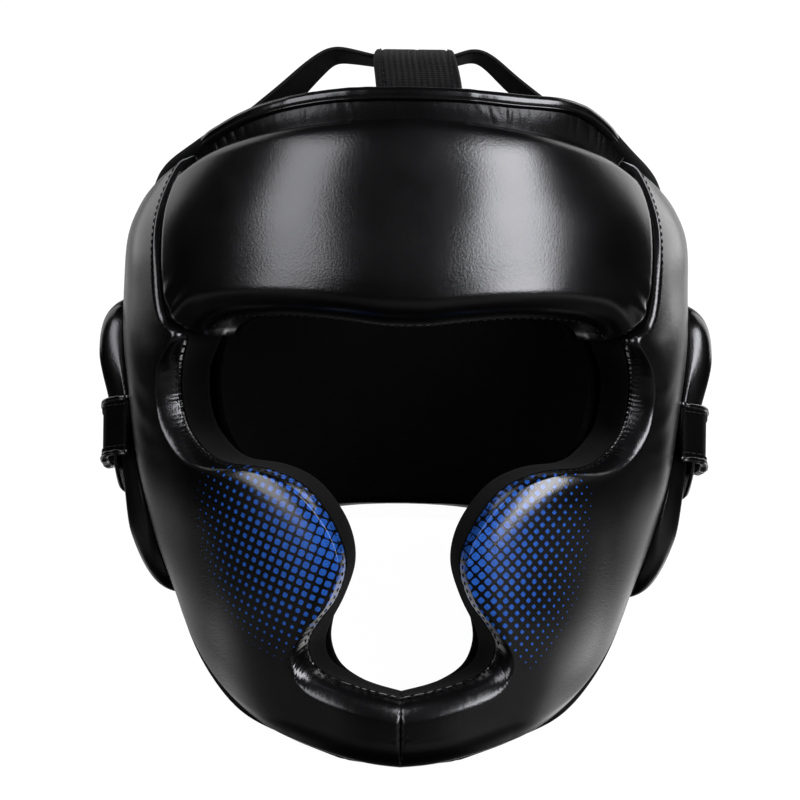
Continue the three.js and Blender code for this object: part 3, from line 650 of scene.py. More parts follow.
def forehead_places(u, v):
    s, side = np.abs(u), np.where(u < 0, -1.0, 1.0)
    corner = s ** 4
    brow_sink = BROW_ROLL[1] + (TEMPLE_ROLL[1] - BROW_ROLL[1]) * corner
    hair_sink = HAIRLINE_ROLL[1] + (TEMPLE_ROLL[1] - HAIRLINE_ROLL[1]) * corner
    low = facing(at(BROW_X, s), at(BROW_Z, s), brow_sink)
    top = facing(at(HAIR_X, s), at(HAIR_Z, s), hair_sink)
    edge = facing(at(TEMPLE_X, v), at(TEMPLE_Z, v), TEMPLE_ROLL[1])
    foot = facing(TEMPLE[0, 0], TEMPLE[0, 1], TEMPLE_ROLL[1])
    head = facing(TEMPLE[-1, 0], TEMPLE[-1, 1], TEMPLE_ROLL[1])
    out = []
    for k in (0, 1):
        bow = edge[k] - (foot[k] * (1 - v) + head[k] * v)
        out.append(low[k][:, None] * (1 - v) + top[k][:, None] * v + (s ** 3)[:, None] * bow)
    edge_phi = low[0][-1] * (1 - v) + top[0][-1] * v + (edge[0] - (foot[0] * (1 - v) + head[0] * v))
    phi, z = out
    d_low, d_top = z - low[1][:, None], top[1][:, None] - z
    d_side = (edge_phi[None] - phi) * AXIS_Y
    return phi * side[:, None], z, d_low, d_top, d_side


u = 2 * three_part(0.018, 16, 220, 0.018, 16) - 1
v = three_part(0.15, 30, 66, 0.115, 18)
phi, z, d_low, d_top, d_side = forehead_places(u, v)
depth = np.sqrt(roll(d_low, *BROW_ROLL) ** 2 + roll(d_top, *HAIRLINE_ROLL) ** 2 + roll(d_side, *TEMPLE_ROLL) ** 2)
depth = np.minimum(depth, PAD - 4)
P, O = under(phi, z, depth), outward(phi, z)
N = grid_normals(P, O)
run = AXIS_Y * phi
ripple = 0.5 * noise3(P, 55, 3) * ease(0, 20, np.minimum(np.minimum(d_low, d_top), d_side))
ripple += 0.12 * gathers(z, d_side, 4.2, 5.0, 11) * (d_side < 9)
corner = np.exp(-(((np.abs(phi) - np.abs(phi).max() * 0.9) / 0.11) ** 2) - ((z - 36) / 9) ** 2)
ripple += 0.40 * corner * np.sin((run * 0.75 + np.sign(phi) * z * 0.8) * 0.55)
P = P + N * ripple[..., None]
outer = ring_out(P, O)
ui, vi = np.pad(u, 1, mode="edge"), np.linspace(0, 1, 7)
phi_i, z_i = forehead_places(ui, vi)[:2]
pts, faces = shell(outer, under(phi_i, z_i, np.full(phi_i.shape, PAD - 0.6)))
make("forehead_pad_leather", pts, faces, LEATHER, ["forehead_pad"])
FOREHEAD = dict(P=P, N=grid_normals(P, O), d_low=d_low, d_top=d_top, d_side=d_side)


def line_at(P, N, distance, d0, axis=1):
    """The line on a grid at that distance from an edge."""
    if axis == 0:
        P, N, distance = P.swapaxes(0, 1), N.swapaxes(0, 1), distance.T
    path, nrm = [], []
    for i in range(P.shape[0]):
        order = np.argsort(distance[i])
        path.append([np.interp(d0, distance[i][order], P[i, order, k]) for k in range(3)])
        nrm.append([np.interp(d0, distance[i][order], N[i, order, k]) for k in range(3)])
    return np.array(path), unit(np.array(nrm))


phi_l, z_l = forehead_places(three_part(0.05, 6, 70, 0.05, 6) * 2 - 1, np.linspace(0, 1, 22))[:2]
phi_l = phi_l * 1.018  # it closes the seam to the cheek linings from behind
pts, faces = shell(under(phi_l, z_l, np.full(phi_l.shape, PAD + 0.5)), under(phi_l, z_l, np.full(phi_l.shape, PAD + 6.3)))
# the forehead lining takes the darker suede copy, painted shade inside the headgear
make("forehead_lining_suede", pts, faces, SUEDE_PAINTED_SHADE, ["forehead_lining"])

# ------------------------------------------------------------------ cheeks
CX, CZ, CPHI, CLOW, CREACH, CSINK, CUNDER = (stations(CHEEK[:, k]) for k in range(7))
LX, LZ = stations(LIP[:, 0]), stations(LIP[:, 1])
NEAR_PHI, NEAR_Z = facing(CX, CZ, CSINK)
LIP_BACK = PAD + 6.3
LIP_PHI, LIP_Z = facing(LX, LZ, LIP_BACK - 5.5)
HEEL_PHI, HEEL_Z = facing(LX + 0.3 * (CX - LX), LZ + 0.3 * (CZ - LZ), LIP_BACK)


def opened(s):
    return np.clip((s - 0.205) / 0.05, 0, 1)


def lip_out(s):
    """The lip runs on behind the brow before its front comes forward to the leather's edge."""
    return np.clip((s - 0.13) / 0.05, 0, 1)


def cheek_near(s):
    return at(NEAR_PHI, s), at(NEAR_Z, s)


def cheek_place(s, t):
    """s and t are grids. Returns phi, z and the way across in mm."""
    near_phi, near_z = cheek_near(s)
    far_phi, far_z = np.radians(at(CPHI, s)), at(CLOW, s)
    p, h = near_phi * (1 - t) + far_phi * t, near_z * (1 - t) + far_z * t
    h = h + np.maximum(1 - 7 * s, 0) ** 2 * (rim_foot(p) - h)
    span = np.linalg.norm(skin(near_phi, near_z) - skin(far_phi, far_z), axis=-1) * 1.06
    return np.maximum(p, 0) + seam_gap(s), h, span


def seam_gap(s):
    """The two halves come together in the middle of the chin."""
    return SEAM * (1 - ease(0.9, 0.985, s))


# stations lie closer where the leather is gathered
raw = np.linspace(0, 1, 4000)
edge_line = under(*cheek_near(raw), at(CSINK, raw))
edge_length = lengths(edge_line)
dense = (1 + 2.6 * np.exp(-(((raw - 0.385) / 0.085) ** 4)) + 3.0 * np.exp(-(((raw - 0.845) / 0.05) ** 4))
         + 2.5 * np.exp(-((raw - 1.0) / 0.02) ** 2) + 1.5 * np.exp(-((raw / 0.04) ** 2)))
weight = np.gradient(edge_length) * dense
weight = np.cumsum(weight) - weight[0]
s_line = np.interp(np.linspace(0, weight[-1], 720), weight, raw)
s_line[0], s_line[-1] = 0.0, 1.0
near_n, mid_n, far_n = 30, 40, 16


def jaw_reach(s):
    return JAW_REACH * np.minimum(1.27, at(CUNDER, s) / 8)


def cheek_grid(s):
    span = cheek_place(s, np.zeros_like(s))[2]
    reach = np.minimum(np.maximum(at(CREACH, s), 3.4) * 1.25 / span, 0.45)
    back = np.minimum(jaw_reach(s) / span, 0.42)
    a = np.linspace(math.pi / 2, 0, near_n)
    b = np.linspace(0, math.pi / 2, far_n)
    first = reach[:, None] * (1 - np.sin(a))
    last = 1 - back[:, None] * (1 - np.sin(b))
    q = np.linspace(0, 1, mid_n)[None]
    middle = reach[:, None] + (1 - back - reach)[:, None] * q
    return np.concatenate([first[:, :-1], middle, last[:, 1:]], 1)


def cheek_surface(s, t):
    S = np.broadcast_to(s[:, None], t.shape)
    phi, z, span = cheek_place(S, t)
    top_phi, top_z, _ = cheek_place(np.zeros_like(S), t)
    p = skin(phi, z)
    to_rim = np.linalg.norm(p - skin(top_phi, top_z), axis=-1)
    d_near, d_far = t * span, (1 - t) * span
    depth = np.sqrt(
        near_roll(d_near, at(CREACH, S), at(CSINK, S), S) ** 2
        + roll(d_far, jaw_reach(S), at(CUNDER, S)) ** 2
        + roll(to_rim, *RIM_ROLL) ** 2 + roll(p[..., 0], *CHIN_SEAM) ** 2)
    return phi, z, np.minimum(depth, PAD - 2), d_near, d_far, to_rim, p[..., 0]


def print_place(phi, z, d_near, reach, sink, near_phi, near_z):
    """Flat lengths over the lobe, from its tip, with the rolled edge laid out flat."""
    phi_c, z_c = facing(23.6, -53.0, 0.0)
    ref = np.linspace(-0.3, 2.2, 400)
    zs = np.linspace(-160, 140, 400)
    U = np.zeros_like(phi)
    levels = np.linspace(-140, 110, 26)
    tables = []
    for level in levels:
        l = lengths(skin(ref, np.full_like(ref, level)))
        tables.append(np.interp(phi.ravel(), ref, l) - np.interp(0.0, ref, l))
    tables = np.array(tables)
    k = np.clip((z.ravel() - levels[0]) / (levels[1] - levels[0]), 0, len(levels) - 1.001)
    i, f = k.astype(int), k - k.astype(int)
    cols = np.arange(tables.shape[1])
    U = (tables[i, cols] * (1 - f) + tables[i + 1, cols] * f).reshape(phi.shape)
    l = lengths(skin(np.full_like(zs, phi_c), zs))
    V = np.interp(z, zs, l) - np.interp(z_c, zs, l)
    lc = lengths(skin(ref, np.full_like(ref, float(z_c))))
    U = U - (np.interp(phi_c, ref, lc) - np.interp(0.0, ref, lc))
    # lay the roll out: the way along the quarter ellipse beyond its own width, towards the edge
    q = np.clip(d_near / reach, 0, 1)
    steps = np.linspace(0, 1, 200)
    depth = 1 - np.sqrt(np.maximum(1 - (1 - steps) ** 2, 0))
    ratio = float(np.median(sink / reach))
    arc = lengths(np.stack([steps, ratio * depth], -1))
    extra = (arc[-1] - np.interp(q, steps, arc)) - (1 - q)
    du = np.gradient(U, axis=1)
    dv = np.gradient(V, axis=1)
    size = np.sqrt(du ** 2 + dv ** 2) + 1e-9
    extra = extra * reach * 0.6
    return U - du / size * extra, V - dv / size * extra


t_grid = cheek_grid(s_line)
phi, z, depth, d_near, d_far, to_rim, chin_x = cheek_surface(s_line, t_grid)
S = np.broadcast_to(s_line[:, None], t_grid.shape)
ALONG = np.broadcast_to(np.interp(s_line, raw, edge_length)[:, None], t_grid.shape)
REACH, SINK = at(CREACH, S), at(CSINK, S)
d_edge = d_near + np.maximum(SINK - near_roll(d_near, REACH, SINK, S), 0)
P0, O0 = under(phi, z, depth), outward(phi, z)
N0 = grid_normals(P0, O0)
PRINT_U, PRINT_V = print_place(phi, z, d_near, REACH, SINK, *cheek_near(S))
eye = np.exp(-(((S - 0.375) / 0.075) ** 4))
notch = np.exp(-(((S - 0.85) / 0.045) ** 2))
temple = 1 - ease(0.2, 0.26, S)
CHEEKS = {}
for name, side, seed, material in (("left", -1.0, 101, LEATHER_LEFT), ("right", 1.0, 202, LEATHER_RIGHT)):
    away = ease(0, 22, np.minimum(d_near, np.minimum(d_far, to_rim))) * ease(2, 22, chin_x)
    bump = 0.55 * noise3(P0, 48, seed) * away
    # gathers round the outer corner of the eye, from the edge over the crest
    strong = 0.55 + 0.45 * noise1(ALONG / 16, seed + 5)
    bump += 0.40 * eye * strong * gathers(ALONG, d_edge, 2.1, 6.0, seed + 7)
    bump += 0.10 * eye * gathers(ALONG + 40, d_edge, 4.6, 13, seed + 9)
    # creases that run out from the lower corner of the mouth opening
    bump += 0.07 * notch * gathers(ALONG, d_near, 1.3, 13, seed + 11)
    bump += 0.07 * notch * gathers(ALONG + 25, d_near, 2.7, 19, seed + 12)
    # a slight gather along the rest of the opening, the rim and the chin seam
    bump += 0.07 * (1 - temple) * gathers(ALONG, d_near, 4.0, 7, seed + 13)
    bump += 0.025 * ease(0.87, 0.92, S) * gathers(ALONG, np.abs(d_near - 6), 3.4, 11, seed + 19) * ease(1, 5, chin_x)
    bump += 0.30 * gathers(AXIS_Y * phi, to_rim, 5.5, 9, seed + 15) * (to_rim < 11)
    bump += 0.14 * gathers(z, chin_x, 3.4, 5, seed + 17) * (chin_x < 12)
    # the folded edge along the temple seam
    bump += 0.55 * (1 - ease(0.10, 0.16, S)) * np.exp(-(((d_near - 1.7) / 0.8) ** 2)) * ease(3, 9, to_rim)
    # soft dents beside the eye
    soft = np.exp(-((S - 0.36) / 0.05) ** 2) * np.exp(-(((d_near - REACH - 16) / 11) ** 2))
    bump += 0.2 * soft * np.sin(ALONG * 0.42 + d_near * 0.22 + seed)
    P = P0 + N0 * bump[..., None]
    outer = ring_out(P, O0, 1.6)
    si = np.pad(s_line, 1, mode="edge")
    rows = np.linspace(0, 1, 9)
    tuck = 1 - JAW_TUCK * np.clip((si - 0.42) * 9, 0, 1)
    ti = rows[None] * tuck[:, None]
    Si = np.broadcast_to(si[:, None], ti.shape)
    pi, zi, _ = cheek_place(Si, ti)
    edge = PAD + (at(CSINK, Si) + 2.0 - PAD) * opened(Si)
    inner = under(pi, zi, edge + (PAD - edge) * ti - 0.4)
    pts, faces = shell(side_of(outer, side), side_of(inner, side))
    lattice = np.zeros((len(pts), 3))
    lattice[:outer.shape[0] * outer.shape[1], 0] = side * ring_value(PRINT_U).ravel()
    lattice[:outer.shape[0] * outer.shape[1], 1] = ring_value(PRINT_V).ravel()
    lattice[:outer.shape[0] * outer.shape[1], 2] = ring_value(1 - ease(0.78, 0.84, S)).ravel()
    lattice[outer.shape[0] * outer.shape[1]:] = (500.0, 500.0, 0.0)
    make(f"cheek_pad_{name}_leather", pts, faces, material, [f"cheek_pad_{name}"],
         attributes=[("print", "FLOAT_VECTOR", lattice)])
    CHEEKS[name] = dict(P=side_of(P, side), N=side_of(grid_normals(P, O0), side))

    # lining: flat behind the pad, with a rounded lip that shows round the opening
    sl = np.linspace(0, 1, 320)
    o, wide_o = opened(sl), lip_out(sl)
    back = np.full_like(sl, LIP_BACK)
    sink = at(CSINK, sl)
    near_phi, near_z = cheek_near(sl)
    lip_phi, lip_z = near_phi + (at(LIP_PHI, sl) - near_phi) * wide_o, near_z + (at(LIP_Z, sl) - near_z) * wide_o
    heel_phi, heel_z = near_phi + (at(HEEL_PHI, sl) - near_phi) * wide_o, near_z + (at(HEEL_Z, sl) - near_z) * wide_o
    gap = seam_gap(sl)
    reach_t = 1 - JAW_TUCK * np.clip((sl - 0.42) * 9, 0, 1) - 0.03
    section = []
    for q in np.linspace(1, 0, 12):                      # pad side, from the far edge to the face
        a, b, _ = cheek_place(sl, q * reach_t)
        e = PAD + (sink + 2.0 - PAD) * o
        section.append((a, b, e + (PAD - e) * q * reach_t + 0.6))
    # the lip: from the leather's edge over a rounded crest to its heel
    start = np.stack([near_phi, near_z, sink * o + PAD * (1 - o) + 1.4], -1)
    crest = np.stack([lip_phi, lip_z, back - 5.5 * o - 3.0 * (1 - o)], -1)
    heel = np.stack([heel_phi, heel_z, back], -1)
    bend = crest * 0.78 + start * 0.22
    bend[:, 2] = start[:, 2] + 0.45 * (crest[:, 2] - start[:, 2])
    for w in np.linspace(0.08, 1, 14):
        q = start * (1 - w) ** 2 + bend * 2 * w * (1 - w) + crest * w * w
        section.append((np.maximum(q[:, 0], 0) + gap, q[:, 1], q[:, 2]))
    turn_point = crest + (crest - bend) * 0.5
    turn_point[:, 2] = back
    for w in np.linspace(0.15, 1, 8):
        q = crest * (1 - w) ** 2 + turn_point * 2 * w * (1 - w) + heel * w * w
        section.append((np.maximum(q[:, 0], 0) + gap, q[:, 1], q[:, 2]))
    for q in np.linspace(0.1, 1, 8):
        a, b, _ = cheek_place(sl, q * reach_t)
        section.append((a, b, back))
    rings = np.stack([under(a, b, d) for a, b, d in section], 1)
    n, k = rings.shape[:2]
    idx = np.arange(n * k).reshape(n, k)
    nxt = np.roll(idx, -1, 1)
    faces = [np.stack([idx[:-1], nxt[:-1], nxt[1:], idx[1:]], -1).reshape(-1, 4),
             np.array([(idx[0, 0], idx[0, i + 1], idx[0, i]) for i in range(1, k - 1)]),
             np.array([(idx[-1, 0], idx[-1, i], idx[-1, i + 1]) for i in range(1, k - 1)])]
    make(f"cheek_lining_{name}_suede", side_of(rings.reshape(-1, 3), side), faces, SUEDE, [f"cheek_lining_{name}"])

# ------------------------------------------------------------------ back
start = REAR_SEAM + 2 * SEAM


def back_places(i, j, lift, inset=0.0):
    phi = (start + (2 * math.pi - 2 * start) * i)[:, None] + 0 * j[None]
    turn = turned(phi)
    low = curve(REAR_EDGE[:, 0], REAR_EDGE[:, 1], np.degrees(turn)) + inset
    top = rim_foot(turn) - inset
    z = low + lift + (top - low - lift) * j[None]
    return phi, z, z - low, top - z, (turn - start) * AXIS_Y


i, j = three_part(0.022, 12, 120, 0.022, 12), three_part(0.08, 16, 50, 0.09, 16)
phi, z, d_low, d_top, d_side = back_places(i, j, 0)
depth = np.sqrt(roll(d_low, *REAR_ROLL) ** 2 + roll(d_top, *RIM_ROLL) ** 2 + roll(d_side, *REAR_SIDE) ** 2)
P, O = under(phi, z, depth), outward(phi, z)
N = grid_normals(P, O)
bump = 0.6 * noise3(P, 50, 7) * ease(0, 20, np.minimum(np.minimum(d_low, d_top), d_side))
bump += 0.35 * gathers(AXIS_Y * phi, d_low, 6, 10, 31) + 0.35 * gathers(AXIS_Y * phi, d_top, 6, 10, 37)
P = P + N * bump[..., None]
phi_i, z_i = back_places(np.pad(i, 1, mode="edge"), np.linspace(0, 1, 6), REAR_TUCK)[:2]
pts, faces = shell(ring_out(P, O, 1.5), under(phi_i, z_i, np.full(phi_i.shape, BACK_PAD - 0.4)))
make("back_pad_leather", pts, faces, LEATHER, ["back_pad"])
BACKPAD = dict(P=P, N=grid_normals(P, O), d_low=d_low, d_top=d_top, d_side=d_side)
phi_l, z_l = back_places(np.linspace(0, 1, 80), np.linspace(0, 1, 30), 1.2, 0.4)[:2]
pts, faces = shell(under(phi_l, z_l, np.full(phi_l.shape, BACK_PAD + 0.6)), under(phi_l, z_l, np.full(phi_l.shape, BACK_PAD + 6.3)))
# the back lining takes the darker suede copy, painted shade inside the headgear
make("back_lining_suede", pts, faces, SUEDE_PAINTED_SHADE, ["back_lining"])


# ------------------------------------------------------------------ ear pads
def ear_place(a, r):
    c, s = np.cos(a), np.sin(a)
    k = (np.abs(c) ** EAR["oval"] + np.abs(s) ** EAR["oval"]) ** (-1 / EAR["oval"])
    return np.radians(EAR["phi"] + EAR["across"] * k * c * r), EAR["z"] + EAR["up"] * k * s * r


def ear_height(deg, z):
    dx, dz = np.abs(deg - EAR["phi"]) / EAR["across"], np.abs(z - EAR["z"]) / EAR["up"]
    r = np.minimum((dx ** EAR["oval"] + dz ** EAR["oval"]) ** (1 / EAR["oval"]), 1)
    dome = (1 - np.maximum(1 - np.maximum(1 - dx, 0) / 0.3, 0) ** 4) * np.sqrt(np.maximum(1 - dz ** 8, 0)) * np.sqrt(np.maximum(1 - r ** EAR["crown"], 0))
    dome = EAR["foot"] + (EAR["proud"] - EAR["foot"]) * dome
    d = np.minimum(np.abs(z - EAR_DENT["z"]) / EAR_DENT["half"], 1)
    lower = np.maximum((EAR_DENT["z"] - z) / (EAR["up"] + EAR["z"] - EAR_DENT["z"]), 0)
    return dome - (EAR_DENT["deep"] * (1 - d * d) ** 1.5 + EAR["slim"] * lower) * (dome / EAR["proud"])


EARS = {}
for name, side, seed in (("left", -1.0, 55), ("right", 1.0, 66)):
    around, rings = 160, 40
    a = np.linspace(0, 2 * math.pi, around, endpoint=False)
    r = np.sin(np.linspace(0.02, math.pi / 2, rings))
    A, R = np.meshgrid(a, r, indexing="ij")
    phi, z = ear_place(A, R)
    h = ear_height(np.degrees(phi), z)
    top = under(phi, z, -GAP - h)
    nrm = unit(np.cross(np.roll(top, -1, 0) - np.roll(top, 1, 0), np.gradient(top, axis=1)))
    nrm = nrm if (nrm * outward(phi, z)).sum() > 0 else -nrm
    edge = (1 - R) * EAR["across"] * 1.9
    bump = 0.3 * noise3(top, 44, seed) * ease(0, 10, edge) + 0.08 * gathers(A * 58, edge, 4.5, 6, seed + 1)
    # the strap pulls the pad in, and the leather folds beside it
    pull = np.exp(-(((np.abs(z - EAR_DENT["z"]) - 16) / 5) ** 2))
    bump += 0.10 * pull * np.sin(phi * 70 + z * 0.5) * ease(0, 8, edge)
    top = top + nrm * bump[..., None]
    base = under(*ear_place(a, 1.0), np.full(around, -GAP))
    wall_mid = under(*ear_place(a, 1.0), -GAP - 0.5 * h[:, -1])
    pts = np.concatenate([top.reshape(-1, 3), wall_mid, base,
                          under(np.radians(EAR["phi"]), EAR["z"], -GAP - ear_height(np.array(EAR["phi"]), np.array(EAR["z"])))[None],
                          under(np.radians(EAR["phi"]), EAR["z"], np.array(-GAP))[None]])
    idx = np.arange(around * rings).reshape(around, rings)
    mid_i, base_i = around * rings + np.arange(around), around * (rings + 1) + np.arange(around)
    tip, sole = around * (rings + 2), around * (rings + 2) + 1
    nx = lambda v: np.roll(v, -1, 0)
    faces = [np.stack([idx[:, :-1], idx[:, 1:], nx(idx)[:, 1:], nx(idx)[:, :-1]], -1).reshape(-1, 4),
             np.stack([idx[:, -1], mid_i, nx(mid_i), nx(idx[:, -1])], -1), np.stack([mid_i, base_i, nx(base_i), nx(mid_i)], -1),
             np.stack([np.full(around, tip), idx[:, 0], nx(idx[:, 0])], -1), np.stack([np.full(around, sole), nx(base_i), base_i], -1)]
    make(f"ear_pad_{name}_leather", side_of(pts, side), faces, LEATHER, [f"ear_pad_{name}"])
    EARS[name] = dict(P=side_of(top, side), N=side_of(nrm, side), edge=edge)
    # piping round the foot of the pad
    loop = under(*ear_place(np.linspace(0, 2 * math.pi, 200, endpoint=False), 1.01), np.full(200, -GAP - 0.9))
    forward = unit(np.roll(loop, -1, 0) - np.roll(loop, 1, 0))
    out = outward(*ear_place(np.linspace(0, 2 * math.pi, 200, endpoint=False), 1.015))
    wide = unit(np.cross(forward, out))
    pts, faces = swept(loop, wide, unit(np.cross(wide, forward)), round_section(1.6, 1.6, 10), closed=True)
    make(f"ear_piping_{name}", side_of(pts, side), faces, LEATHER_STRAP)

# ------------------------------------------------------------------ closure strap and its tabs
first = CLOSURE_PATH[0, 0]
angle = np.linspace(first, 360 - first, 260)
turn = np.minimum(angle, 360 - angle)
zc = CLOSURE["z"] - CLOSURE["drop"] * np.sin((turn - first) / (180 - first) * math.pi / 2)
zc = zc + 6.6 * (1 - ease(first, 104, turn))
out = outward(np.radians(angle), zc)
out[:, 2] = 0
out = unit(out)
path = skin(np.radians(angle), zc) + out * curve(CLOSURE_PATH[:, 0], CLOSURE_PATH[:, 1], turn)[:, None]
up = np.tile([0.0, 0.0, 1.0], (len(path), 1))
path, up, out = resample(path, 420, up, out)
up, out = unit(up), unit(out)
section = tape_section(CLOSURE["wide"] - 1.0, CLOSURE["thick"], 28, 5)
pts, faces = swept(path, up, out, section)
make("closure_strap_leather", pts, faces, LEATHER_STRAP, ["closure_strap"])
STRAP = dict(path=path, up=up, out=out)
for key, w, seed in (("upper", 11.2, 41), ("lower", -11.2, 43)):
    run = lengths(path)
    swell = 1 + 0.16 * noise1(run / 2.6, seed) + 0.10 * noise1(run / 1.1, seed + 1)
    section = round_section(2.5, 3.3, 12)[None] * swell[:, None, None]
    pts, faces = swept(path + up * (w + 0.25 * noise1(run / 7, seed + 2))[:, None] + out * 0.35, up, out, section)
    make(f"closure_edge_{key}", pts, faces, LEATHER_GLOSS)

for name, side in (("left", -1.0), ("right", 1.0)):
    n, m = 60, 30
    i, j = np.linspace(0, 1, n), np.linspace(0, 1, m)
    I, J = np.meshgrid(i, j, indexing="ij")
    bow = np.sqrt(np.maximum(1 - np.abs(2 * I - 1) ** 3, 0.02))
    low = CLOSURE["z"] - TAB["below"] * bow
    z = low + (TAB["top"] - low) * J
    deg = TAB["start"] + (TAB["end"] - TAB["start"]) * I
    lift = GAP + ear_height(deg, z) + GAP + 0.8
    rim = np.minimum(np.minimum(I, 1 - I) * 46, np.minimum(J, 1 - J) * 27)
    raise_ = TAB["thick"] + 0.7 * np.exp(-((rim - 1.2) / 1.1) ** 2) - 0.7 * (1 - ease(0, 1.2, rim))
    pts, faces = shell(under(np.radians(deg), z, -lift - raise_), under(np.radians(deg), z, -lift))
    make(f"strap_tab_{name}_leather", side_of(pts, side), faces, LEATHER_GLOSS, [f"strap_tab_{name}"])


# ------------------------------------------------------------------ straps over the crown
def weave_of(points, section, count):
    """Lengths along and across a tape for its weave."""
    l = lengths(points)
    along = np.repeat(l, len(section))
    across = np.tile(section[:, 0], count)
    return np.stack([along, across, np.zeros_like(along)], -1)


s = np.linspace(0, 1, 160)
nodes = np.linspace(0, 1, len(CROWN_PATH))
line = np.stack([CROWN["x"] + 2.4 - 2.4 * ease(0, 0.28, s), curve(nodes, CROWN_PATH[:, 0], s), curve(nodes, CROWN_PATH[:, 1], s)], -1)
line = resample(line, 160)
fwd = tangents(line)
wide = np.tile([-1.0, 0.0, 0.0], (160, 1))
high = -unit(np.cross(wide, fwd))
section = tape_section(CROWN["wide"], CROWN["thick"], 40, 5)
dip = section.copy()
dip[:, 1] -= 0.5 * np.exp(-(((np.abs(section[:, 0]) - 13.9) / 0.5) ** 2)) * (section[:, 1] > 0)
dip[:, 1] -= 0.25 * np.exp(-(((section[:, 0] + 1.0) / 0.6) ** 2)) * (section[:, 1] > 0)
narrow = 1.01 - 0.07 * ease(0, 0.3, np.linspace(0, 1, 160)) * (1 - ease(0.6, 0.9, np.linspace(0, 1, 160)))
dip = np.stack([dip[None, :, 0] * narrow[:, None], np.broadcast_to(dip[:, 1], (160, len(dip)))], -1)
pts, faces = swept(line, wide, high, dip)
make("crown_strap_elastic", pts, faces, ELASTIC, ["crown_strap"], attributes=[("weave", "FLOAT_VECTOR", weave_of(line, section, 160))])
CROWN_LINE = dict(line=line, wide=wide, high=high)

s = np.linspace(0, 1, 200)
nodes = np.linspace(0, 1, len(CROSS_PATH))
line = np.stack([soften(curve(nodes, CROSS_PATH[:, 0], s), 3), np.full_like(s, CROSS["y"]), soften(curve(nodes, CROSS_PATH[:, 1], s), 3)], -1)
fwd = tangents(line)
tilt = np.radians(soften(curve(nodes, CROSS_PATH[:, 2], s), 4))[:, None]
level = np.tile([0.0, 1.0, 0.0], (200, 1))
up = unit(np.cross(fwd, level))
wide = unit(level * np.cos(tilt) - up * np.sin(tilt))
section = tape_section(CROSS["wide"], CROSS["thick"], 20, 4)
pts, faces = swept(line, wide, unit(np.cross(fwd, wide)), section)
make("cross_strap_webbing", pts, faces, WEBBING, ["cross_strap"], attributes=[("weave", "FLOAT_VECTOR", weave_of(line, section, 200))])


# ------------------------------------------------------------------ bindings
def rim_spot(phi, size):
    """The middle of a binding. It stands a little clear of the cheeks at the temples, more so on the right."""
    z = rim_z(phi)
    q = under(phi, z - size["high"], np.full_like(phi, size["inset"]))
    deg = np.degrees(np.where(phi > math.pi, phi - 2 * math.pi, phi))
    o = outward(phi, z)
    o[:, 2] = 0
    o = unit(o)
    both = np.exp(-(((np.abs(deg) - 67) / 10) ** 2))
    right = np.exp(-(((deg - 43) / 13) ** 2))
    p = np.stack([q[:, 0], q[:, 1], z + 0.2 * both + 5.0 * right], -1)
    return p + o * (1.0 * both + 2.6 * right)[:, None]


def rim_line(a, b, size, count):
    phi = np.linspace(a, b, count)
    p = rim_spot(phi, size)
    p = np.stack([soften(p[:, k], 4) for k in range(3)], -1)
    fwd = tangents(p)
    o = outward(phi, rim_z(phi))
    o[:, 2] = 0
    o = unit(o)
    high = -unit(np.cross(o, fwd))
    return phi, p, unit(np.cross(high, fwd)), high


end = rad(FRONT_BINDING["to"])
phi, p, wide, high = rim_line(-end, end, FRONT_BINDING, 260)
wave = (1 + 0.03 * noise1(np.degrees(phi) / 2.4, 77)) * (1 - 0.6 * ease(50, 58, np.abs(np.degrees(phi))))
section = round_section(FRONT_BINDING["deep"], FRONT_BINDING["high"], 22)[None] * wave[:, None, None]
pts, faces = swept(p, wide, high, section)
make("rim_binding_front_leather", pts, faces, LEATHER_GLOSS, ["rim_binding_front"])
FRONT_RIM = dict(p=p, phi=phi, wave=wave)

phi, p, wide, high = rim_line(rad(49.5), rad(310.5), REAR_BINDING, 340)
turn = np.degrees(turned(phi))
stout = 1 + 0.3 * (1 - ease(62, 84, turn))
section = round_section(REAR_BINDING["deep"], REAR_BINDING["high"], 18)[None] * stout[:, None, None]
pts, faces = swept(p, wide, high, section)
around = np.tile(np.linspace(0, 17.0, 18), 340)
make("rim_binding_rear_webbing", pts, faces, BINDING, ["rim_binding_rear"],
     attributes=[("weave", "FLOAT_VECTOR", np.stack([np.repeat(lengths(p), 18), around, 0 * around], -1))])
REAR_RIM = dict(p=p, wide=wide, high=high)

for name, side in (("left", -1.0), ("right", 1.0)):
    s = np.linspace(JAW_BINDING["start"], JAW_BINDING["end"], 200)
    a, b, _ = cheek_place(s, np.ones_like(s))
    line = under(a, b - JAW_BINDING["drop"], at(CUNDER, s) * (0.38 + 0.62 * ease(4, 9, at(CUNDER, s))) + JAW_BINDING["depth"])
    fwd = tangents(line)
    zz = np.array([0.0, 0.0, 1.0])
    high = unit(zz - fwd * fwd[:, 2:])
    pts, faces = swept(line, unit(np.cross(high, fwd)), high, round_section(JAW_BINDING["across"], JAW_BINDING["across"], 10))
    around = np.tile(np.linspace(0, 7.0, 10), 200)
    make(f"jaw_binding_{name}_webbing", side_of(pts, side), faces, BINDING, [f"jaw_binding_{name}"],
         attributes=[("weave", "FLOAT_VECTOR", np.stack([np.repeat(lengths(line), 10), around, 0 * around], -1))])

# ------------------------------------------------------------------ pleated strip
count, levels = 420, 12
u = np.linspace(-0.985, 0.985, count)
top = forehead_places(u, np.array([1.0]))
tphi, tz = top[0][:, 0], top[1][:, 0]
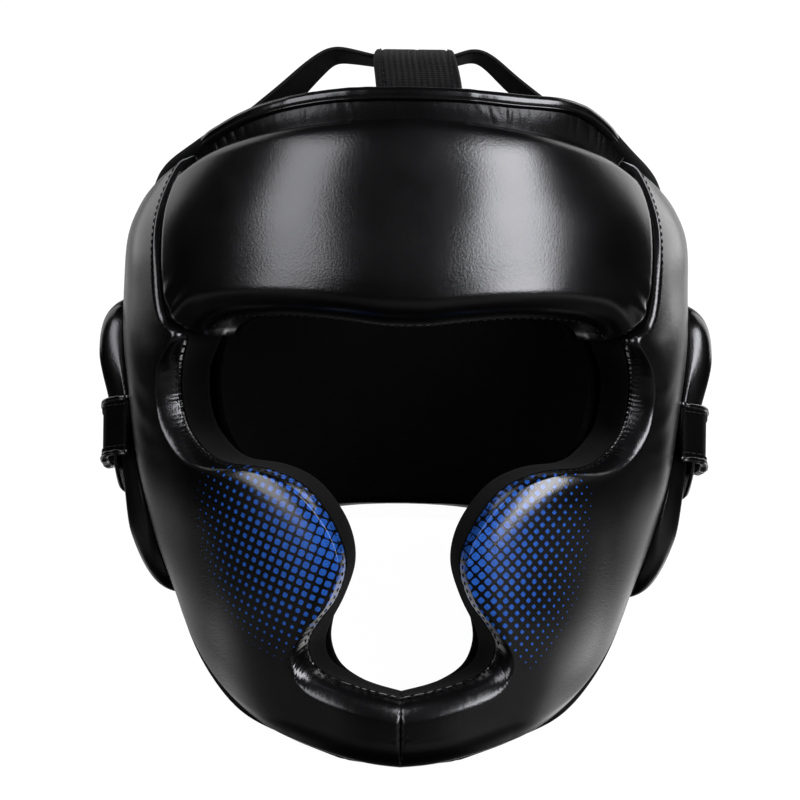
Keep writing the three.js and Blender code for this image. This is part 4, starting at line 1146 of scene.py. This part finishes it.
# its ends run on to the cheek panels
wider = np.sign(u) * ease(0.88, 0.985, np.abs(u))
foot = under(tphi + 0.036 * wider, tz - 0.2, np.full(count, HAIRLINE_ROLL[1] + 0.4))
o = outward(tphi, tz)
head = rim_spot(tphi + 0.088 * wider, FRONT_BINDING) + unit(o * np.array([1.0, 1.0, 0.0])) * 1.0 - np.array([0.0, 0.0, 1.8])
run = lengths(foot)
J = np.linspace(0, 1, levels)
strip = foot[:, None] * (1 - J)[None, :, None] + head[:, None] * J[None, :, None]
pleat = np.abs(np.sin(math.pi * (run[:, None] / 4.2 + 0.55 * J[None] + 0.6 * noise1(run / 9, 5)[:, None]))) ** 0.7 - 0.5
strength = 0.08 + 0.92 * ease(0.6, 0.78, np.abs(u))
crinkle = np.exp(-(((np.abs(u) - 0.36) / 0.12) ** 2))[:, None] * noise1(run / 1.7, 21)[:, None] * noise1(run[:, None] / 3.1 + 3 * J[None], 23)
lift = 0.9 * np.sin(math.pi * J)[None] + 0.55 * crinkle * np.sin(math.pi * J)[None] + 0.55 * pleat * strength[:, None] * np.sin(math.pi * np.clip(J * 0.9 + 0.05, 0, 1))[None]
face = strip + o[:, None] * lift[..., None]
face[:, :, 2] += 0.7 * np.sin(math.pi * J)[None]
back = strip - o[:, None] * 2.0
pts, faces = shell(face, back)
make("top_strip_leather", pts, faces, LEATHER_STRIP, ["top_strip"])

# ------------------------------------------------------------------ stitching
reach_mm = np.interp(s_line, FINE, CREACH)
for name, side in (("left", -1.0), ("right", 1.0)):
    g = CHEEKS[name]
    phi, z, depth, d_near, d_far, to_rim, chin_x = cheek_surface(s_line, t_grid)
    p, n = line_at(g["P"], g["N"], d_near, 0.0)
    # the thread lies on the leather just in from its edge
    roll_path, roll_normal = g["P"][:, 3], g["N"][:, 3]
    keep = s_line > 0.3
    lines = [(roll_path[keep], roll_normal[keep], dict(length=1.9, gap=1.3, radius=0.26, seed=3))]
    t_path, t_normal = line_at(g["P"], g["N"], d_near, 2.6)
    keep = (s_line > 0.02) & (s_line < 0.24)
    lines.append((t_path[keep], t_normal[keep], dict(length=2.0, gap=0.9, radius=0.28, seed=4)))
    # a fine row close to each side of the chin seam
    c_path, c_normal = line_at(g["P"], g["N"], chin_x, 0.6, axis=0)
    keep = (t_grid[-1] > 0.1) & (t_grid[-1] < 0.9)
    stitches(f"stitches_face_{name}", lines, THREAD_DARK)
    stitches(f"stitches_chin_{name}", [(c_path[keep], c_normal[keep], dict(length=1.6, gap=1.2, radius=0.2, lift=0.0, seed=9))], THREAD_DARK)

path, nrm = line_at(FOREHEAD["P"], FOREHEAD["N"], FOREHEAD["d_low"], 0.35)
stitches("stitches_brow", [(path[6:-6], nrm[6:-6], dict(length=2.1, gap=1.3, radius=0.3, seed=6))], THREAD)
f = FRONT_RIM
o = outward(f["phi"], rim_z(f["phi"]))
o[:, 2] = 0
nrm = unit(unit(o) * 2.9 - np.array([0.0, 0.0, 1.7]))
path = f["p"] + nrm * (3.35 * f["wave"])[:, None]
fwd = tangents(path)
pts, faces = swept(path[8:-8], unit(np.cross(nrm, fwd))[8:-8], nrm[8:-8], round_section(0.62, 0.62, 8))
make("rim_cord", pts, faces, LEATHER_GLOSS)
c = CROWN_LINE
lines = [(c["line"] + c["wide"] * w + c["high"] * 1.2, c["high"], dict(length=2.4, gap=1.0, radius=0.3, seed=8 + k)) for k, w in enumerate((13.9, -13.9))]
stitches("stitches_crown", lines, THREAD)
k = STRAP
lines = [(k["path"] + k["up"] * w + k["out"] * 1.25, k["out"], dict(length=2.4, gap=1.0, radius=0.28, seed=18 + i)) for i, w in enumerate((8.6, -8.6))]
stitches("stitches_closure", lines, THREAD)
lines = []
for d in (3.0,):
    for key in ("d_low", "d_top"):
        path, nrm = line_at(BACKPAD["P"], BACKPAD["N"], BACKPAD[key], 6.0)
        lines.append((path[8:-8], nrm[8:-8], dict(length=2.4, gap=1.1, radius=0.3, seed=28)))
stitches("stitches_back", lines, THREAD)

# ------------------------------------------------------------------ stage, light and camera
def plain(name, colour, rough=0.6, glow=0.0):
    n = Nodes(name)
    n.set(Base_Color=tuple(colour) + (1,), Roughness=rough, Specular_IOR_Level=0.2)
    if glow:
        n.set(Emission_Color=(1, 1, 1, 1), Emission_Strength=glow)
    return n.material


mesh = bpy.data.meshes.new("floor")
w = 40.0
mesh.from_pydata([(-w, -w, -0.0004), (w, -w, -0.0004), (w, w, -0.0004), (-w, w, -0.0004)], [], [(0, 1, 2, 3)])
mesh.materials.append(plain("floor_white", (0.05, 0.05, 0.05), 0.9, glow=0.98))
floor = bpy.data.objects.new("floor", mesh)
bpy.context.scene.collection.objects.link(floor)
floor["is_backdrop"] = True
# a white sweep that is out of the reflections, as a cut-out product picture has
floor.visible_glossy = floor.visible_diffuse = floor.visible_shadow = False


def soft_light(name, spot, target, width, height, power, colour=(1, 1, 1)):
    lamp = bpy.data.lights.new(name, "AREA")
    lamp.shape, lamp.size, lamp.size_y, lamp.energy, lamp.color = "RECTANGLE", width, height, power, colour
    o = bpy.data.objects.new(name, lamp)
    o.location = spot
    o.rotation_euler = (Vector(target) - Vector(spot)).to_track_quat("-Z", "Y").to_euler()
    bpy.context.scene.collection.objects.link(o)
    return o


TARGET = (0.0, 0.0, 0.12)
COOL = (0.94, 0.945, 1.0)
LEANT = np.array([[1, 0, 0], [0, math.cos(LEAN), math.sin(LEAN)], [0, -math.sin(LEAN), math.cos(LEAN)]])


def leant_light(name, azimuth, elevation, distance, width, height, power, colour=(1, 1, 1), tip=0.0):
    """A soft box that stands beside the headgear's own leant axis, upright or tipped sideways."""
    a, e = rad(azimuth), rad(elevation)
    d = LEANT @ np.array([math.sin(a) * math.cos(e), -math.cos(a) * math.cos(e), math.sin(e)])
    x = unit(np.cross(LEANT @ np.array([0.0, 0.0, 1.0]), d))
    y = unit(np.cross(d, x) + x * math.tan(rad(tip)))
    x = np.cross(y, d)
    o = soft_light(name, (0, 0, 0), TARGET, width, height, power, colour)
    spot = np.array(TARGET) + d * distance
    o.matrix_world = Matrix([[x[k], y[k], d[k], spot[k]] for k in range(3)] + [[0, 0, 0, 1]])
    return o


leant_light("soft_left", -41.5, 27.5, 1.8, 0.82, 2.2, 36, COOL, -13)
leant_light("soft_right", 39, 25.5, 1.8, 0.82, 2.2, 80, COOL, 13)
leant_light("back_left", -131, 29, 1.6, 0.95, 1.6, 5.2)
leant_light("back_right", 131, 29, 1.6, 0.95, 1.6, 10.5)

world = bpy.data.worlds.new("studio")
bpy.context.scene.world = world
world.use_nodes = True
tree = world.node_tree
tree.nodes.clear()
sky_out = tree.nodes.new("ShaderNodeOutputWorld")
sky = tree.nodes.new("ShaderNodeBackground")
sky.inputs["Color"].default_value = (1, 1, 1, 1)
tree.links.new(sky.outputs[0], sky_out.inputs[0])
# dark in front, white behind and below, and brighter on the right, all in the headgear's own leant frame
way = tree.nodes.new("ShaderNodeTexCoord").outputs["Generated"]


def ramp(along, start, stop, low, high):
    """A smooth step of the part of the direction that lies along an axis."""
    dot = tree.nodes.new("ShaderNodeVectorMath")
    dot.operation = "DOT_PRODUCT"
    tree.links.new(way, dot.inputs[0])
    dot.inputs[1].default_value = tuple(float(c) for c in LEANT @ np.array(along, float))
    step = tree.nodes.new("ShaderNodeMapRange")
    step.interpolation_type = "SMOOTHSTEP"
    for key, value in (("From Min", start), ("From Max", stop), ("To Min", low), ("To Max", high)):
        step.inputs[key].default_value = value
    tree.links.new(dot.outputs["Value"], step.inputs["Value"])
    return step.outputs[0]


def combined(operation, p, q):
    n = tree.nodes.new("ShaderNodeMath")
    n.operation = operation
    tree.links.new(p, n.inputs[0])
    tree.links.new(q, n.inputs[1])
    return n.outputs[0]


behind = combined("MULTIPLY", ramp((0, 1, 0), 0.78, 1.0, 0.002, 0.6), ramp((0, 0, 1), -0.42, -0.26, 0.0, 1.0))
low = combined("MULTIPLY", ramp((0, 1, 0), 0.45, 0.88, 0.0, 0.65), ramp((0, 0, -1), 0.12, 0.3, 0.0, 1.0))
below = combined("MULTIPLY", ramp((0, 0, -1), 0.27, 0.36, 0.0, 1.4), ramp((0, 0, -1), 0.44, 0.58, 1.0, 0.15))
below = combined("MULTIPLY", below, ramp((0, 1, 0), 0.05, 0.6, 0.2, 1.0))
low = combined("MULTIPLY", low, combined("ADD", ramp((1, 0, 0), 0.24, 0.55, 0.02, 1.0), ramp((-1, 0, 0), 0.24, 0.55, 0.02, 1.0)))
below = combined("MULTIPLY", below, combined("ADD", ramp((1, 0, 0), 0.36, 0.58, 0.01, 1.0), ramp((-1, 0, 0), 0.36, 0.58, 0.01, 1.0)))
below = combined("ADD", low, below)
ahead = combined("MULTIPLY", ramp((0, 0, -1), 0.4, 0.6, 0.0, 0.14), ramp((0, -1, 0), 0.3, 0.7, 0.0, 1.0))
below = combined("ADD", below, ahead)
sides = ramp((1, 0, 0), -0.4, 0.4, 0.65, 1.5)
tree.links.new(combined("MULTIPLY", combined("ADD", behind, below), sides), sky.inputs["Strength"])

LENS_PX, DISTANCE, ROLL_TURN, MIDDLE = 3376.6, 1300.0, 0.013, (405.0, 400.0)
to_row = LEANT
right = to_row @ np.array([math.cos(ROLL_TURN), 0, math.sin(ROLL_TURN)])
up = to_row @ np.array([-math.sin(ROLL_TURN), 0, math.cos(ROLL_TURN)])
look = to_row @ np.array([0.0, 1.0, 0.0])
spot = (to_row @ np.array([0.0, -DISTANCE, 0.0]) + np.array([0, CENTRE_Y, FLOOR_LIFT])) * 0.001
cam = bpy.data.cameras.new("camera")
cam.sensor_width, cam.sensor_fit, cam.lens = 36.0, "HORIZONTAL", LENS_PX * 36.0 / 800
cam.shift_x, cam.shift_y = -(MIDDLE[0] - 400) / 800, (MIDDLE[1] - 400) / 800
cam.clip_start, cam.clip_end = 0.01, 100
camera = bpy.data.objects.new("camera", cam)
camera.matrix_world = Matrix([[right[0], up[0], -look[0], spot[0]], [right[1], up[1], -look[1], spot[1]], [right[2], up[2], -look[2], spot[2]], [0, 0, 0, 1]])
bpy.context.scene.collection.objects.link(camera)
bpy.context.scene.camera = camera
bpy.context.scene.view_settings.view_transform = "Standard"

low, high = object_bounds()
